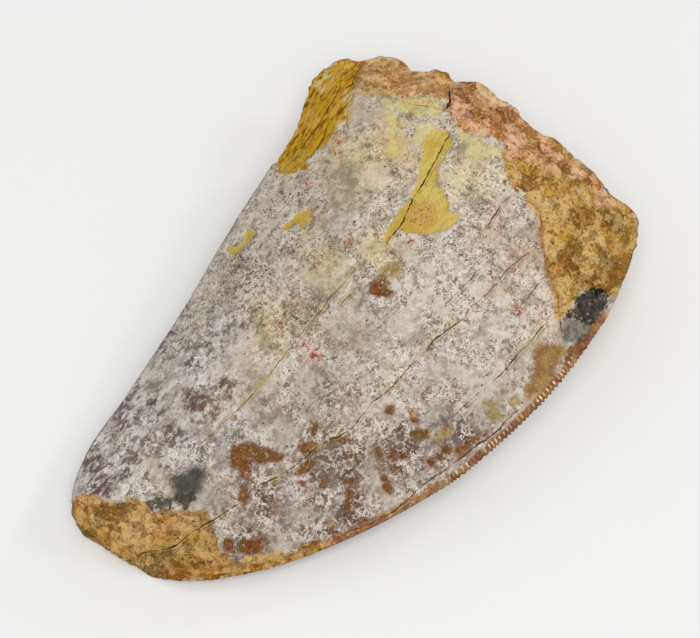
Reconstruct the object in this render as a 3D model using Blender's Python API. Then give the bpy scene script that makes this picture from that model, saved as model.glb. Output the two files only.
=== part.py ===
"""Fossil crown of a large serrated theropod tooth, lying on one face.

The crown runs along X, from the worn tip at -X to the broken base at +X. Its serrated front
edge (mesial carina) faces -Y and its straighter rear edge (distal) faces +Y. It is one solid.

The body is two sheets, an upper and an under one, that meet all round the outline. Both are
laid out on a flat pattern whose x and y are those of the crown seen from above. Past the rim
of the base the pattern folds down (or up), and so becomes the broken end face.
"""

import math

import bpy
import numpy as np
from mathutils import Vector, geometry, kdtree, noise

# All sizes below are in millimetres. The mesh is written in metres.
METRES_PER_MM = 0.001

# Heights above the resting plane
CREST_AT_MIDDLE = 12.3  # highest line of the upper face, at x = 0
CREST_RISE = 0.15  # it climbs this much for each mm towards the base
CREST_BOW = 0.0009  # and bends down this much for each square mm away from the middle
EDGE_PINCH = 2.4  # how late the lens section falls away towards its edges
UNDER_PINCH = 2.2
REST_DEPTH = 0.8  # how much of the bulging underside is worn flat

# Serrated edge
DENTICLE_PITCH = 0.52
DENTICLE_HEIGHT = 0.2
INNER_LIFT = 0.6  # share of its height that a denticle's ridge has inside the edge
DENTICLE_REACH = 0.9  # how far the ridge of a denticle runs in from the edge
DENTICLES_FROM_X = -9.0
DENTICLES_TO_X = 14.0
DENTICLES_WORN_OVER = 5.0  # length over which wear takes them away at either end

# Broken base
RIM_RADIUS = 0.7
RIM_BAND = 0.5  # an outline point this near the rim belongs to it
BEVEL_RUN = 4.2
BEVEL_DROP = 2.3
UNDER_BEVEL_RUN = 2.2
UNDER_BEVEL_DROP = 1.1
BREAK_LUMP = 1.9  # width of the lumps on the broken surfaces
BREAK_RELIEF = 0.32
END_FACE_REACH = 12.0  # more than the unfolded end face is high at its middle
PINCHED_BELOW = 4.0  # where the crown is thinner than this, the bevels shrink with it

# Worn and broken tip
TIP_SLOPE = 1.15  # fall of the tip's fracture for each mm outwards
TIP_ROUNDING = 1.3

# Mesh
TOP_SPACING = 1.15
UNDER_SPACING = 1.8
BREAK_SPACING = 0.85
GROOVE_STEP = 0.8
EDGE_STEP = 0.9
DENTICLE_STEP = DENTICLE_PITCH / 2
RING_INSETS = (0.5, 1.15)
RING_GAP = 0.55  # least distance between points of the two rings inside the edge
RING_SHARE = 0.9  # a ring point nearer the edge than this share of its inset is left out
GROOVE_GAP = 0.4  # least distance from a groove's points to any other point
GROOVE_FROM_EDGE = 0.6
FILL_GAP_SHARE = 0.7  # least distance from a fill point to any other, as a share of the spacing
BROKEN_FROM = 0.2  # share of breakage from which the fill is as close as on the broken faces

# Outline, counter-clockwise from the tip along the serrated edge
MESIAL_EDGE = [
    (-29.4, -5.9), (-26.7, -8.6), (-22.9, -11.7), (-18.6, -14.3), (-12.7, -17.0), (-7.5, -18.8),
    (-1.3, -20.0), (4.2, -20.6), (9.6, -20.6), (15.0, -20.1), (20.0, -18.8), (22.8, -17.7),
]
BASE_EDGE = [
    (24.2, -16.8), (25.4, -15.6), (25.8, -14.2), (25.3, -12.2), (25.8, -10.0), (25.8, -8.0),
    (25.6, -5.0), (25.4, -3.0), (25.8, -0.5), (25.8, 2.2), (26.0, 5.0), (25.6, 6.4),
    (24.8, 7.4), (25.2, 9.0), (24.4, 10.4), (23.9, 12.0), (24.2, 13.8), (24.4, 15.4),
    (23.4, 16.6), (22.3, 17.4), (22.2, 18.8), (20.9, 20.1),
]
DISTAL_EDGE = [
    (19.2, 20.5), (17.2, 20.2), (15.6, 19.6), (13.1, 18.4), (8.1, 17.3), (1.7, 16.2),
    (-5.2, 14.6), (-12.1, 13.1), (-19.6, 11.8), (-28.5, 10.2),
]
TIP_EDGE = [
    (-31.2, 8.9), (-32.5, 7.6), (-33.0, 6.0), (-32.8, 4.2), (-32.4, 1.8), (-31.8, -1.2),
    (-30.8, -3.7),
]

# The two edges carried on past the outline, for the lens section near the tip and the base
MESIAL_BEYOND_TIP = [(-35.0, -3.0), (-32.0, -4.2)]
MESIAL_BEYOND_BASE = [(25.0, -17.9), (34.0, -17.2)]
DISTAL_BEYOND_TIP = [(-32.0, 9.8), (-35.0, 9.6)]
DISTAL_BEYOND_BASE = [(34.0, 21.4), (22.0, 21.0)]

# Places on the upper face, seen from above
TIP_BREAK = [
    (-32.5, 10.0), (-31.3, 7.6), (-30.1, 4.6), (-28.8, 2.4), (-28.3, 0.4), (-26.6, -2.0),
    (-25.1, -3.4), (-25.8, -5.0), (-26.7, -6.4), (-25.3, -8.8), (-22.3, -11.2), (-19.0, -13.6),
    (-22.0, -20.0), (-40.0, -14.0), (-45.0, 6.0), (-38.0, 16.0),
]
BARE_STRIP = [
    (8.0, 17.0), (8.3, 12.6), (10.7, 13.6), (14.4, 13.6), (15.2, 13.0), (17.6, 14.0),
    (19.2, 15.6), (22.1, 16.8), (26.0, 22.0), (9.0, 22.0),
]
BARE_CORNER = [
    (17.5, -6.3), (18.1, -8.8), (16.4, -10.7), (13.8, -13.6), (13.1, -15.6), (11.4, -17.1),
    (9.6, -19.4), (10.0, -24.0), (30.0, -24.0), (30.0, -6.0),
]
FLAKE = [
    (17.8, 4.9), (19.5, 3.0), (17.6, 2.1), (14.1, 0.5), (13.0, -1.4), (12.5, -3.4),
    (9.2, -2.8), (7.4, -0.2), (6.1, 0.5), (10.6, 1.5), (13.6, 2.7),
]
LONG_CRACK = [
    (16.1, -11.8), (10.8, -10.6), (4.3, -10.6), (-1.4, -9.9), (-7.5, -9.4), (-11.1, -9.2),
    (-16.2, -7.3), (-22.3, -5.7), (-28.4, -3.4),
]
CENTRE_CRACK = [
    (19.5, 3.0), (13.3, 1.6), (5.9, 0.5), (-0.1, 0.5), (-8.9, 0.4), (-17.0, 0.6), (-21.5, 1.1),
]
SHORT_CRACK = [(10.2, -16.6), (4.2, -16.4), (-0.9, -15.8), (-4.2, -15.4)]
EDGE_GROOVE = [
    (2.1, -19.6), (-3.0, -18.9), (-9.4, -17.2), (-14.4, -15.8), (-16.9, -14.7), (-19.8, -12.9),
]
GROOVES = [LONG_CRACK, CENTRE_CRACK, SHORT_CRACK, EDGE_GROOVE]
GROOVE_DEPTH = 0.3
GROOVE_REACH = 0.45
TIP_LEDGE_DROP = 0.35
STEP_RUN = 0.5  # width over which the ledges and flakes step down
CLEAR_OF_FLOOR = 0.02  # points lower than this rest on the floor
RELIEF_FULL_AT = 0.5  # height from which the relief has its whole depth
BARE_DEPTH = 0.35
FLAKE_DEPTH = 0.25
ENAMEL_SWELL = 0.12
ENAMEL_SWELL_WIDTH = 6.5
FINE_LUMP_SHARE = 0.6
SWELL_SEED = 1
BREAK_SEED = 2
FINE_LUMP_SEED = 3

# Height of each sharp edge at places along the crown
MESIAL_HEIGHT = [
    (-35, 1.2), (-29, 1.5), (-25, 2.4), (-20, 3.6), (-12, 4.7), (0, 6.4), (10, 7.8), (20, 8.9),
    (30, 9.4),
]
DISTAL_HEIGHT = [(-35, 3.6), (-28, 4.0), (-12, 5.5), (0, 6.5), (10, 7.6), (20, 8.6), (30, 9.2)]


def curve_through(knots, step, closed=False):
    """Points about step apart on a smooth curve through the knots."""
    knots = np.array(knots, float)
    if closed:
        knots = np.vstack([knots[-1], knots, knots[:2]])
    else:
        knots = np.vstack([2 * knots[0] - knots[1], knots, 2 * knots[-1] - knots[-2]])
    spans = np.diff(knots, axis=0)
    lengths = np.linalg.norm(spans, axis=1)[:, None]
    slopes = spans / lengths
    tangents = (slopes[:-1] * lengths[1:] + slopes[1:] * lengths[:-1]) / (lengths[:-1] + lengths[1:])
    points = []
    for i in range(1, len(knots) - 2):
        count = max(1, round(float(lengths[i, 0]) / step))
        t = (np.arange(count) / count)[:, None]
        rise = t * t * (3 - 2 * t)
        leave = tangents[i - 1] * t * (1 - t) ** 2 * lengths[i]
        arrive = tangents[i] * t * t * (t - 1) * lengths[i]
        points.append(knots[i] * (1 - rise) + knots[i + 1] * rise + leave + arrive)
    if not closed:
        points.append(knots[-2:-1])
    return np.vstack(points)


def smooth_step(value):
    value = np.clip(value, 0, 1)
    return value * value * (3 - 2 * value)


def lumps(points, width, seed):
    """Soft bumps about width apart, from -1 to 1."""
    shift = Vector((17.3 * seed, -9.1 * seed, 5.7 * seed))
    return np.array([noise.noise(Vector(point) / width + shift) for point in points])


FINE = 0.05
MESIAL_LINE = curve_through(MESIAL_BEYOND_TIP + MESIAL_EDGE + MESIAL_BEYOND_BASE, FINE)
DISTAL_LINE = curve_through(DISTAL_BEYOND_BASE + DISTAL_EDGE + DISTAL_BEYOND_TIP, FINE)[::-1]
RIM_LINE = curve_through(MESIAL_EDGE[-3:] + BASE_EDGE + DISTAL_EDGE[:1], FINE)
OUTLINE = curve_through(MESIAL_EDGE + BASE_EDGE + DISTAL_EDGE + TIP_EDGE, FINE, closed=True)
TIP_LINE = curve_through(DISTAL_EDGE[-1:] + TIP_EDGE + MESIAL_EDGE[:2], FINE)


def mesial_y(x):
    return np.interp(x, MESIAL_LINE[:, 0], MESIAL_LINE[:, 1])


def distal_y(x):
    return np.interp(x, DISTAL_LINE[:, 0], DISTAL_LINE[:, 1])


def rim_x(y):
    return np.interp(y, RIM_LINE[:, 1], RIM_LINE[:, 0])


def distance_to(line, points):
    """How far each pattern point is from a line, and the place along the line nearest to it."""
    tree = kdtree.KDTree(len(line))
    for index, (x, y) in enumerate(line):
        tree.insert((x, y, 0), index)
    tree.balance()
    found = [tree.find((x, y, 0))[1:] for x, y in points]
    return np.array([d for _, d in found]), np.array([i for i, _ in found])


def depth_inside(points, polygon):
    """How far each point is inside a closed polygon. Outside it, the value is negative."""
    corners = np.array(polygon, float)
    ends = np.roll(corners, -1, axis=0)
    nearest = np.full(len(points), np.inf)
    inside = np.zeros(len(points), bool)
    for a, b in zip(corners, ends):
        along = b - a
        share = np.clip((points - a) @ along / (along @ along), 0, 1)
        nearest = np.minimum(nearest, np.linalg.norm(points - a - share[:, None] * along, axis=1))
        straddles = (a[1] > points[:, 1]) != (b[1] > points[:, 1])
        rise = along[1] if along[1] else 1e-9
        inside ^= straddles & (points[:, 0] < a[0] + (points[:, 1] - a[1]) * along[0] / rise)
    return np.where(inside, nearest, -nearest)


def lens(x, y):
    """Upper, under and edge height of the unbroken crown at a place seen from above."""
    low, high = mesial_y(x), distal_y(x)
    across = np.clip((2 * y - low - high) / (high - low), -1, 1)
    share = (across + 1) / 2
    edge = (1 - share) * np.interp(x, *zip(*MESIAL_HEIGHT)) + share * np.interp(x, *zip(*DISTAL_HEIGHT))
    crest = CREST_AT_MIDDLE + CREST_RISE * x - CREST_BOW * x * x
    upper = edge + (crest - edge) * (1 - np.abs(across) ** EDGE_PINCH)
    under = edge - (edge + REST_DEPTH) * (1 - np.abs(across) ** UNDER_PINCH)
    return upper, np.maximum(under, 0), edge


def broken_faces(x, y):
    """Upper and under height with the base's bevelled rim and the tip's sloping fracture."""
    upper, under, edge = lens(x, y)
    from_rim = rim_x(y) - x
    room = np.clip((upper - edge) / PINCHED_BELOW, 0, 1)
    upper -= BEVEL_DROP * room * smooth_step(1 - from_rim / BEVEL_RUN)
    room = np.clip((edge - under) / PINCHED_BELOW, 0, 1)
    under += UNDER_BEVEL_DROP * room * smooth_step(1 - from_rim / UNDER_BEVEL_RUN)
    points = np.column_stack([x, y])
    past_ledge = depth_inside(points, TIP_BREAK)
    upper -= TIP_SLOPE * np.maximum(past_ledge, 0)
    upper -= TIP_LEDGE_DROP * smooth_step(past_ledge / STEP_RUN + 0.5)
    upper = np.maximum(upper, under)
    middle = (upper + under) / 2
    near, _ = distance_to(TIP_LINE, points)
    open_share = np.sqrt(np.clip(1 - (1 - np.minimum(near / TIP_ROUNDING, 1)) ** 2, 0, 1))
    return middle + (upper - middle) * open_share, middle + (under - middle) * open_share


def fold(past):
    """How far a pattern point past the rim still moves out, and how far it drops."""
    past = np.maximum(past, 0)
    out = RIM_RADIUS * (1 - np.exp(-past / RIM_RADIUS))
    return out, past - out


def place(pattern, upper_side):
    """Pattern points of one sheet as points in space."""
    x, y = pattern.T
    rim = rim_x(y)
    out, drop = fold(x - rim)
    seen_x = np.where(x > rim, rim + out, x)
    upper, under = broken_faces(seen_x, y)
    height = upper - drop if upper_side else under + drop
    return np.column_stack([seen_x, y, height])


def unfolded_outline(outline):
    """Outline points moved out along X by what the end face unfolds to in the pattern."""
    x, y = outline.T
    upper, under = broken_faces(x, y)
    half = np.where(x > DISTAL_EDGE[3][0], (upper - under) / 2, 0)
    at_rim = np.abs(x - rim_x(y)) < RIM_BAND
    past = np.arange(0, END_FACE_REACH, FINE / 5)
    _, drop = fold(past)
    unfolded = np.interp(half, drop, past)
    return np.column_stack([x + np.where(at_rim, unfolded, 0), y])


def run_lengths(line):
    """Length run from the first point of a line to each of its points."""
    return np.append(0, np.cumsum(np.linalg.norm(np.diff(line, axis=0), axis=1)))


SERRATED_LINE = curve_through(MESIAL_EDGE, FINE)
SERRATED_RUN = run_lengths(SERRATED_LINE)


def denticle_wear(x):
    """1 where denticles stand whole, falling to 0 where they are worn away."""
    from_ends = np.minimum(x - DENTICLES_FROM_X, DENTICLES_TO_X - x)
    return smooth_step(from_ends / DENTICLES_WORN_OVER + 0.5)


def denticle_lift(pattern):
    """Height of the denticles' ridges over a pattern point, and the outward direction there."""
    near, index = distance_to(SERRATED_LINE, pattern)
    ridge = np.cos(2 * math.pi * SERRATED_RUN[index] / DENTICLE_PITCH) * 0.5 + 0.5
    fade = smooth_step(1 - near / DENTICLE_REACH)
    along = np.gradient(SERRATED_LINE, axis=0)[index]
    along /= np.linalg.norm(along, axis=1)[:, None]
    outward = np.column_stack([along[:, 1], -along[:, 0]])
    return DENTICLE_HEIGHT * ridge * fade * denticle_wear(pattern[:, 0]), outward


def edge_points():
    """Pattern outline with a point at each denticle's top and foot, and wider steps elsewhere."""
    outline = unfolded_outline(OUTLINE)
    run = run_lengths(np.vstack([outline, outline[:1]]))
    seen = OUTLINE[:, 0]
    reach = DENTICLES_WORN_OVER / 2
    serrated = (OUTLINE[:, 1] < 0) & (seen > DENTICLES_FROM_X - reach) & (seen < DENTICLES_TO_X + reach)
    first, last = run[np.flatnonzero(serrated)[[0, -1]]]
    first = math.ceil(first / DENTICLE_STEP) * DENTICLE_STEP
    last = math.floor(last / DENTICLE_STEP) * DENTICLE_STEP
    rest = run[-1] - last + first
    wide = np.linspace(last, last + rest, round(rest / EDGE_STEP), endpoint=False) % run[-1]
    places = np.sort(np.concatenate([np.arange(first, last - 1e-6, DENTICLE_STEP), wide]))
    closed = np.vstack([outline, outline[:1]])
    return np.column_stack([np.interp(places, run, closed[:, 0]), np.interp(places, run, closed[:, 1])])


def inset_ring(edge, inset):
    """The edge's points moved inwards, without those that come too near the edge or each other."""
    along = np.roll(edge, -1, axis=0) - np.roll(edge, 1, axis=0)
    along /= np.linalg.norm(along, axis=1)[:, None]
    ring = edge + inset * np.column_stack([-along[:, 1], along[:, 0]])
    closed = curve_closed(edge)
    near, _ = distance_to(closed, ring)
    return ring[near > RING_SHARE * inset]


def curve_closed(edge):
    """A closed line of straight runs through the edge's points, finely divided."""
    ends = np.roll(edge, -1, axis=0)
    shares = np.linspace(0, 1, 8, endpoint=False)[:, None, None]
    return (edge + (ends - edge) * shares).transpose(1, 0, 2).reshape(-1, 2)


def spread(candidates, kept, spacing):
    """Those candidates that stay at least spacing from the kept points and from each other."""
    cells = {}
    for point in kept:
        cells.setdefault((int(point[0] // spacing), int(point[1] // spacing)), []).append(point)
    chosen = []
    for point in candidates:
        column, row = int(point[0] // spacing), int(point[1] // spacing)
        around = [(column + i, row + j) for i in (-1, 0, 1) for j in (-1, 0, 1)]
        others = [other for cell in around for other in cells.get(cell, ())]
        if all(math.dist(point, other) >= spacing for other in others):
            cells.setdefault((column, row), []).append(point)
            chosen.append(point)
    return np.array(chosen).reshape(-1, 2)


def honeycomb(low, high, spacing):
    """Points of a triangular grid over a box."""
    rows = np.arange(low[1], high[1], spacing * math.sqrt(3) / 2)
    columns = np.arange(low[0], high[0], spacing)
    x, y = np.meshgrid(columns, rows)
    x[1::2] += spacing / 2
    return np.column_stack([x.ravel(), y.ravel()])


def sheet_points(edge, spacing, grooves):
    """Points of one sheet: its edge, two rings inside it, the grooves, then an even fill."""
    points = edge
    inner = [inset_ring(edge, RING_INSETS[0])]
    inner.append(spread(inset_ring(edge, RING_INSETS[1]), inner[0], RING_GAP))
    for groove in grooves:
        line = curve_through(groove, GROOVE_STEP)
        along = np.gradient(line, axis=0)
        along /= np.linalg.norm(along, axis=1)[:, None]
        side = GROOVE_REACH * np.column_stack([-along[:, 1], along[:, 0]])
        for rail in (line, line + side, line - side):
            inside = rail[depth_inside(rail, edge) > GROOVE_FROM_EDGE]
            inner.append(spread(inside, np.vstack([points, *inner]), GROOVE_GAP))
    for step in (BREAK_SPACING, spacing):
        fill = honeycomb(edge.min(axis=0), edge.max(axis=0), step)
        fill = fill[depth_inside(fill, edge) > RING_INSETS[1]]
        if step == BREAK_SPACING:
            fill = fill[broken_share(fill, spacing == TOP_SPACING) > BROKEN_FROM]
        inner.append(spread(fill, np.vstack([points, *inner]), FILL_GAP_SHARE * step))
    return np.vstack([points, *inner])


def triangles(points, edge_count):
    """Triangles over a sheet's points, inside its edge, facing up."""
    loop = list(range(edge_count))
    made = geometry.delaunay_2d_cdt([Vector(p) for p in points], [], [loop], 1, 1e-6)
    if len(made[0]) != len(points):
        raise ValueError("two points of a sheet coincide")
    origin = [sources[0] for sources in made[3]]
    return np.array([[origin[v] for v in face] for face in made[2]])


def broken_share(pattern, upper_side):
    """1 where a pattern point is on the broken base or tip, falling to 0 on the sound faces."""
    x, y = pattern.T
    run = BEVEL_RUN if upper_side else UNDER_BEVEL_RUN
    broken = smooth_step((1 - (rim_x(y) - x) / run) * 3)
    if upper_side:
        broken = np.maximum(broken, smooth_step(depth_inside(pattern, TIP_BREAK) / STEP_RUN))
    return broken


def relief(pattern, space, upper_side):
    """How far each point stands out from the plain form, along its normal."""
    broken = broken_share(pattern, upper_side)
    swell = ENAMEL_SWELL * lumps(space, ENAMEL_SWELL_WIDTH, SWELL_SEED)
    if upper_side:
        swell -= BARE_DEPTH * smooth_step(depth_inside(pattern, BARE_STRIP) / STEP_RUN + 0.5)
        swell -= BARE_DEPTH * smooth_step(depth_inside(pattern, BARE_CORNER) / STEP_RUN + 0.5)
        swell -= FLAKE_DEPTH * smooth_step(depth_inside(pattern, FLAKE) / STEP_RUN + 0.5)
        for groove in GROOVES:
            near, _ = distance_to(curve_through(groove, FINE), pattern)
            swell -= GROOVE_DEPTH * np.clip(1 - near / GROOVE_REACH, 0, 1)
    coarse = lumps(space, BREAK_LUMP, BREAK_SEED)
    fine = FINE_LUMP_SHARE * lumps(space, BREAK_LUMP / 2, FINE_LUMP_SEED)
    rough = BREAK_RELIEF * (coarse + fine)
    return swell * (1 - broken) + rough * broken


def vertex_normals(points, faces):
    """Outward direction at each point, averaged over its faces."""
    a, b, c = (points[faces[:, k]] for k in range(3))
    turned = np.cross(b - a, c - a)
    normals = np.zeros_like(points)
    for k in range(3):
        np.add.at(normals, faces[:, k], turned)
    return normals / np.maximum(np.linalg.norm(normals, axis=1), 1e-9)[:, None]


def tooth_mesh():
    """Points in millimetres and triangles of the whole crown, with its middle over the origin."""
    edge = edge_points()
    count = len(edge)
    upper = sheet_points(edge, TOP_SPACING, GROOVES)
    under = sheet_points(edge, UNDER_SPACING, [])
    space = np.vstack([place(upper, True), place(under[count:], False)])
    upper_faces = triangles(upper, count)
    under_faces = triangles(under, count)[:, ::-1]
    under_faces = np.where(under_faces < count, under_faces, under_faces + len(upper) - count)
    faces = np.vstack([upper_faces, under_faces])

    normals = vertex_normals(space, faces)
    inner = under[count:]
    upper_relief = relief(upper, space[: len(upper)], True)
    stand = np.append(upper_relief, relief(inner, space[len(upper) :], False))
    rests = space[:, 2] < CLEAR_OF_FLOOR
    off_floor = smooth_step(space[:, 2] / RELIEF_FULL_AT)
    moved = space + normals * (stand * off_floor)[:, None]

    lift, outward = denticle_lift(np.vstack([upper, inner]))
    at_edge = np.arange(len(space)) < count
    moved[at_edge, :2] += outward[at_edge] * lift[at_edge, None]
    moved[~at_edge] += normals[~at_edge] * INNER_LIFT * lift[~at_edge, None]
    moved[:, 2] = np.where(rests, 0, np.maximum(moved[:, 2], 0))
    moved[:, :2] -= (moved[:, :2].min(axis=0) + moved[:, :2].max(axis=0)) / 2
    return moved, faces


def fossil_material():
    material = bpy.data.materials.new("fossil_enamel")
    material.use_nodes = True
    shader = material.node_tree.nodes["Principled BSDF"]
    shader.inputs["Base Color"].default_value = (0.45, 0.41, 0.36, 1)
    shader.inputs["Roughness"].default_value = 0.5
    shader.inputs["Metallic"].default_value = 0
    return material


def clear_scene():
    for item in list(bpy.data.objects):
        bpy.data.objects.remove(item)


def make_tooth():
    points, faces = tooth_mesh()
    mesh = bpy.data.meshes.new("tooth")
    mesh.from_pydata((points * METRES_PER_MM).tolist(), [], faces.tolist())
    mesh.materials.append(fossil_material())
    mesh.shade_smooth()
    tooth = bpy.data.objects.new("tooth", mesh)
    bpy.context.scene.collection.objects.link(tooth)


clear_scene()
make_tooth()
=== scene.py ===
"""Looks of the fossil tooth crown: fine relief, markings, materials, floor, lights and camera.

The form repeats that of the solid, so both agree, and carries finer relief. Sizes are in
millimetres in crown coordinates: worn tip at -X, broken base at +X, serrated edge at -Y,
resting plane at z = 0. Two sheets, an upper and an under one, are laid out on a flat pattern
whose x and y are those seen from above. Past the base's rim the pattern folds over and becomes
the broken end face.

The markings are placed by pixels of the 700 x 638 frame that the camera sees. Their distances
become attributes of the mesh, and the material breaks their edges up with noise.
"""

import math

import bpy
import numpy as np
from mathutils import Matrix, Vector, geometry, kdtree, noise


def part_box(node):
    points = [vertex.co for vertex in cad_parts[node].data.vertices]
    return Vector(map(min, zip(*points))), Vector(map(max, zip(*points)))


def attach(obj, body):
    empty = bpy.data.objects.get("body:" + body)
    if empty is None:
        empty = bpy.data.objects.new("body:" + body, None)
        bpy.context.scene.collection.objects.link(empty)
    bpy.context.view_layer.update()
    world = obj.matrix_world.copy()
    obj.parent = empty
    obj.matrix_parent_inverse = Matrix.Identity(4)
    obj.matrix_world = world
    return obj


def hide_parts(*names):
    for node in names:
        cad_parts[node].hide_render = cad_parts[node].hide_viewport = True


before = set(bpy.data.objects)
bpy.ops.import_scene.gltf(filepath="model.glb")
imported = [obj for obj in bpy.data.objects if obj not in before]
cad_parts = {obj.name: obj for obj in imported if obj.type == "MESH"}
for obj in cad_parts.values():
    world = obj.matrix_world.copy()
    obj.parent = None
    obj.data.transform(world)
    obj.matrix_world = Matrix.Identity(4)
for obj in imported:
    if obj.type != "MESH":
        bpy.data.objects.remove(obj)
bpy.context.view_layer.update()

METRES_PER_MM = 0.001

# Camera
FRAME_WIDTH = 700
FRAME_HEIGHT = 638
SENSOR_WIDTH = 36
LENS = 135
FOCAL_PIXELS = LENS / SENSOR_WIDTH * FRAME_WIDTH
CAMERA_AZIMUTH = math.radians(-50)
CAMERA_ELEVATION = math.radians(60)
CAMERA_AIM = np.array([0.0, 0.0, 6.0])
PIXELS_PER_MM = 10.07  # at the aim point
CAMERA_DISTANCE = FOCAL_PIXELS / PIXELS_PER_MM

# Heights above the resting plane
CREST_AT_MIDDLE = 12.3
CREST_RISE = 0.15
CREST_BOW = 0.0009
EDGE_PINCH = 2.4
UNDER_PINCH = 2.2
REST_DEPTH = 0.8

# Serrated edge
DENTICLE_PITCH = 0.52
DENTICLE_HEIGHT = 0.2
DENTICLE_REACH = 0.9
DENTICLES_FROM_X = -9.0
DENTICLES_TO_X = 14.0
DENTICLES_WORN_OVER = 5.0
BEAD_INSET = 0.34
BEAD_WIDTH = 0.34

# Broken base and tip
RIM_RADIUS = 0.7
BEVEL_RUN = 4.2
BEVEL_DROP = 2.3
UNDER_BEVEL_RUN = 2.2
UNDER_BEVEL_DROP = 1.1
TIP_SLOPE = 1.15
TIP_ROUNDING = 1.3
TIP_LEDGE_DROP = 0.35
BREAK_LUMP = 1.9
BREAK_RELIEF = 0.32

# Relief. Bumps are given as (height, width, seed) of each of their sizes
ENAMEL_BUMPS = [(0.12, 6.5, 1), (0.035, 1.7, 6), (0.014, 0.5, 7)]
BREAK_BUMPS = [(BREAK_RELIEF, BREAK_LUMP, 2), (0.6 * BREAK_RELIEF, BREAK_LUMP / 2, 3)]
GRAIN_BUMPS = [(0.11, 0.52, 4), (0.05, 0.3, 5)]
CORNER_BUMPS = [(0.12, 1.1, 13)]
RAGGED_BUMPS = [(0.12, 0.6, 9)]
BARE_DEPTH = 0.35
FLAKE_DEPTH = 0.22
PALE_FLAKE_DEPTH = 0.1
AMBER_DEPTH = 0.12
CALM_EDGE = 0.9  # width along the front edge in which the relief dies down
CALM_EDGE_RELIEF = 0.25  # share of it that is left there

# Mesh
LINE_STEP = 0.05
TOP_SPACING = 0.215
UNDER_SPACING = 0.42
UNDER_EDGE_SPACING = 0.26
UNDER_EDGE_ZONE = 1.2
FINE_SPACING = 0.085
SERRATED_SPACING = 0.11
SERRATED_ZONE = 1.1
EDGE_STEP = 0.2
DENTICLE_STEP = DENTICLE_PITCH / 6
FROM_EDGE_SHARE = 0.6  # least distance from the outline, as a share of the spacing
GAP_SHARE = 0.7  # least distance between points, as a share of the spacing
RIM_BAND = 0.5  # an outline point this near the rim belongs to it
END_FACE_REACH = 12.0  # more than the unfolded end face is high at its middle
REST_BAND = 0.02  # below this height the underside is the flat that it rests on
CHART_MARGIN = 1.0

# Cracks, in millimetres where nothing else is said
CRACK_ZONE = 0.24  # distance within which the mesh is fine
CRACK_STEP = 0.4  # pixels
CRACK_REACH = 0.4
CRACK_WANDER = 0.9  # pixels
CRACK_FADE = 0.8
CRACK_DEPTH_SHARE = 0.6
CRACK_SHOULDER = 0.07
STAIN_REACH = 0.28

FAR = -5.0  # depth of a place that is well outside a marking

# How far apart patterns with shifts that differ by 1 lie, so that they don't look alike
PATTERN_SHIFT = (7.3, -3.1, 1.7)

# Floor and light
FLOOR_HALF_WIDTH = 3.0  # metres
LAMP_DISTANCE = 1.5  # metres
SKY_AT_HORIZON = 0.15
SKY_OVERHEAD = 0.69
LAMPS = [  # name, azimuth and elevation in degrees, power in watts, size in metres
    ("front_lamp", -50, 62, 13.8, 0.75),
    ("right_lamp", 52, 40, 1.9, 0.25),
    ("low_right_lamp", 80, 26, 1.4, 0.12),
]

# Outline, counter-clockwise from the tip along the serrated edge
MESIAL_EDGE = [
    (-29.4, -5.9), (-26.7, -8.6), (-22.9, -11.7), (-18.6, -14.3), (-12.7, -17.0), (-7.5, -18.8),
    (-1.3, -20.0), (4.2, -20.6), (9.6, -20.6), (15.0, -20.1), (20.0, -18.8), (22.8, -17.7),
]
BASE_EDGE = [
    (24.2, -16.8), (25.4, -15.6), (25.8, -14.2), (25.3, -12.2), (25.8, -10.0), (25.8, -8.0),
    (25.6, -5.0), (25.4, -3.0), (25.8, -0.5), (25.8, 2.2), (26.0, 5.0), (25.6, 6.4),
    (24.8, 7.4), (25.2, 9.0), (24.4, 10.4), (23.9, 12.0), (24.2, 13.8), (24.4, 15.4),
    (23.4, 16.6), (22.3, 17.4), (22.2, 18.8), (20.9, 20.1),
]
DISTAL_EDGE = [
    (19.2, 20.5), (17.2, 20.2), (15.6, 19.6), (13.1, 18.4), (8.1, 17.3), (1.7, 16.2),
    (-5.2, 14.6), (-12.1, 13.1), (-19.6, 11.8), (-28.5, 10.2),
]
TIP_EDGE = [
    (-31.2, 8.9), (-32.5, 7.6), (-33.0, 6.0), (-32.8, 4.2), (-32.4, 1.8), (-31.8, -1.2),
    (-30.8, -3.7),
]
MESIAL_BEYOND_TIP = [(-35.0, -3.0), (-32.0, -4.2)]
MESIAL_BEYOND_BASE = [(25.0, -17.9), (34.0, -17.2)]
DISTAL_BEYOND_TIP = [(-32.0, 9.8), (-35.0, 9.6)]
DISTAL_BEYOND_BASE = [(34.0, 21.4), (22.0, 21.0)]
TIP_BREAK = [
    (-32.5, 10.0), (-31.3, 7.6), (-30.1, 4.6), (-28.8, 2.4), (-28.3, 0.4), (-26.6, -2.0),
    (-25.1, -3.4), (-25.8, -5.0), (-26.7, -6.4), (-25.3, -8.8), (-22.3, -11.2), (-19.0, -13.6),
    (-22.0, -20.0), (-40.0, -14.0), (-45.0, 6.0), (-38.0, 16.0),
]
MESIAL_HEIGHT = [
    (-35, 1.2), (-29, 1.5), (-25, 2.4), (-20, 3.6), (-12, 4.7), (0, 6.4), (10, 7.8), (20, 8.9),
    (30, 9.4),
]
DISTAL_HEIGHT = [(-35, 3.6), (-28, 4.0), (-12, 5.5), (0, 6.5), (10, 7.6), (20, 8.6), (30, 9.2)]

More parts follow.
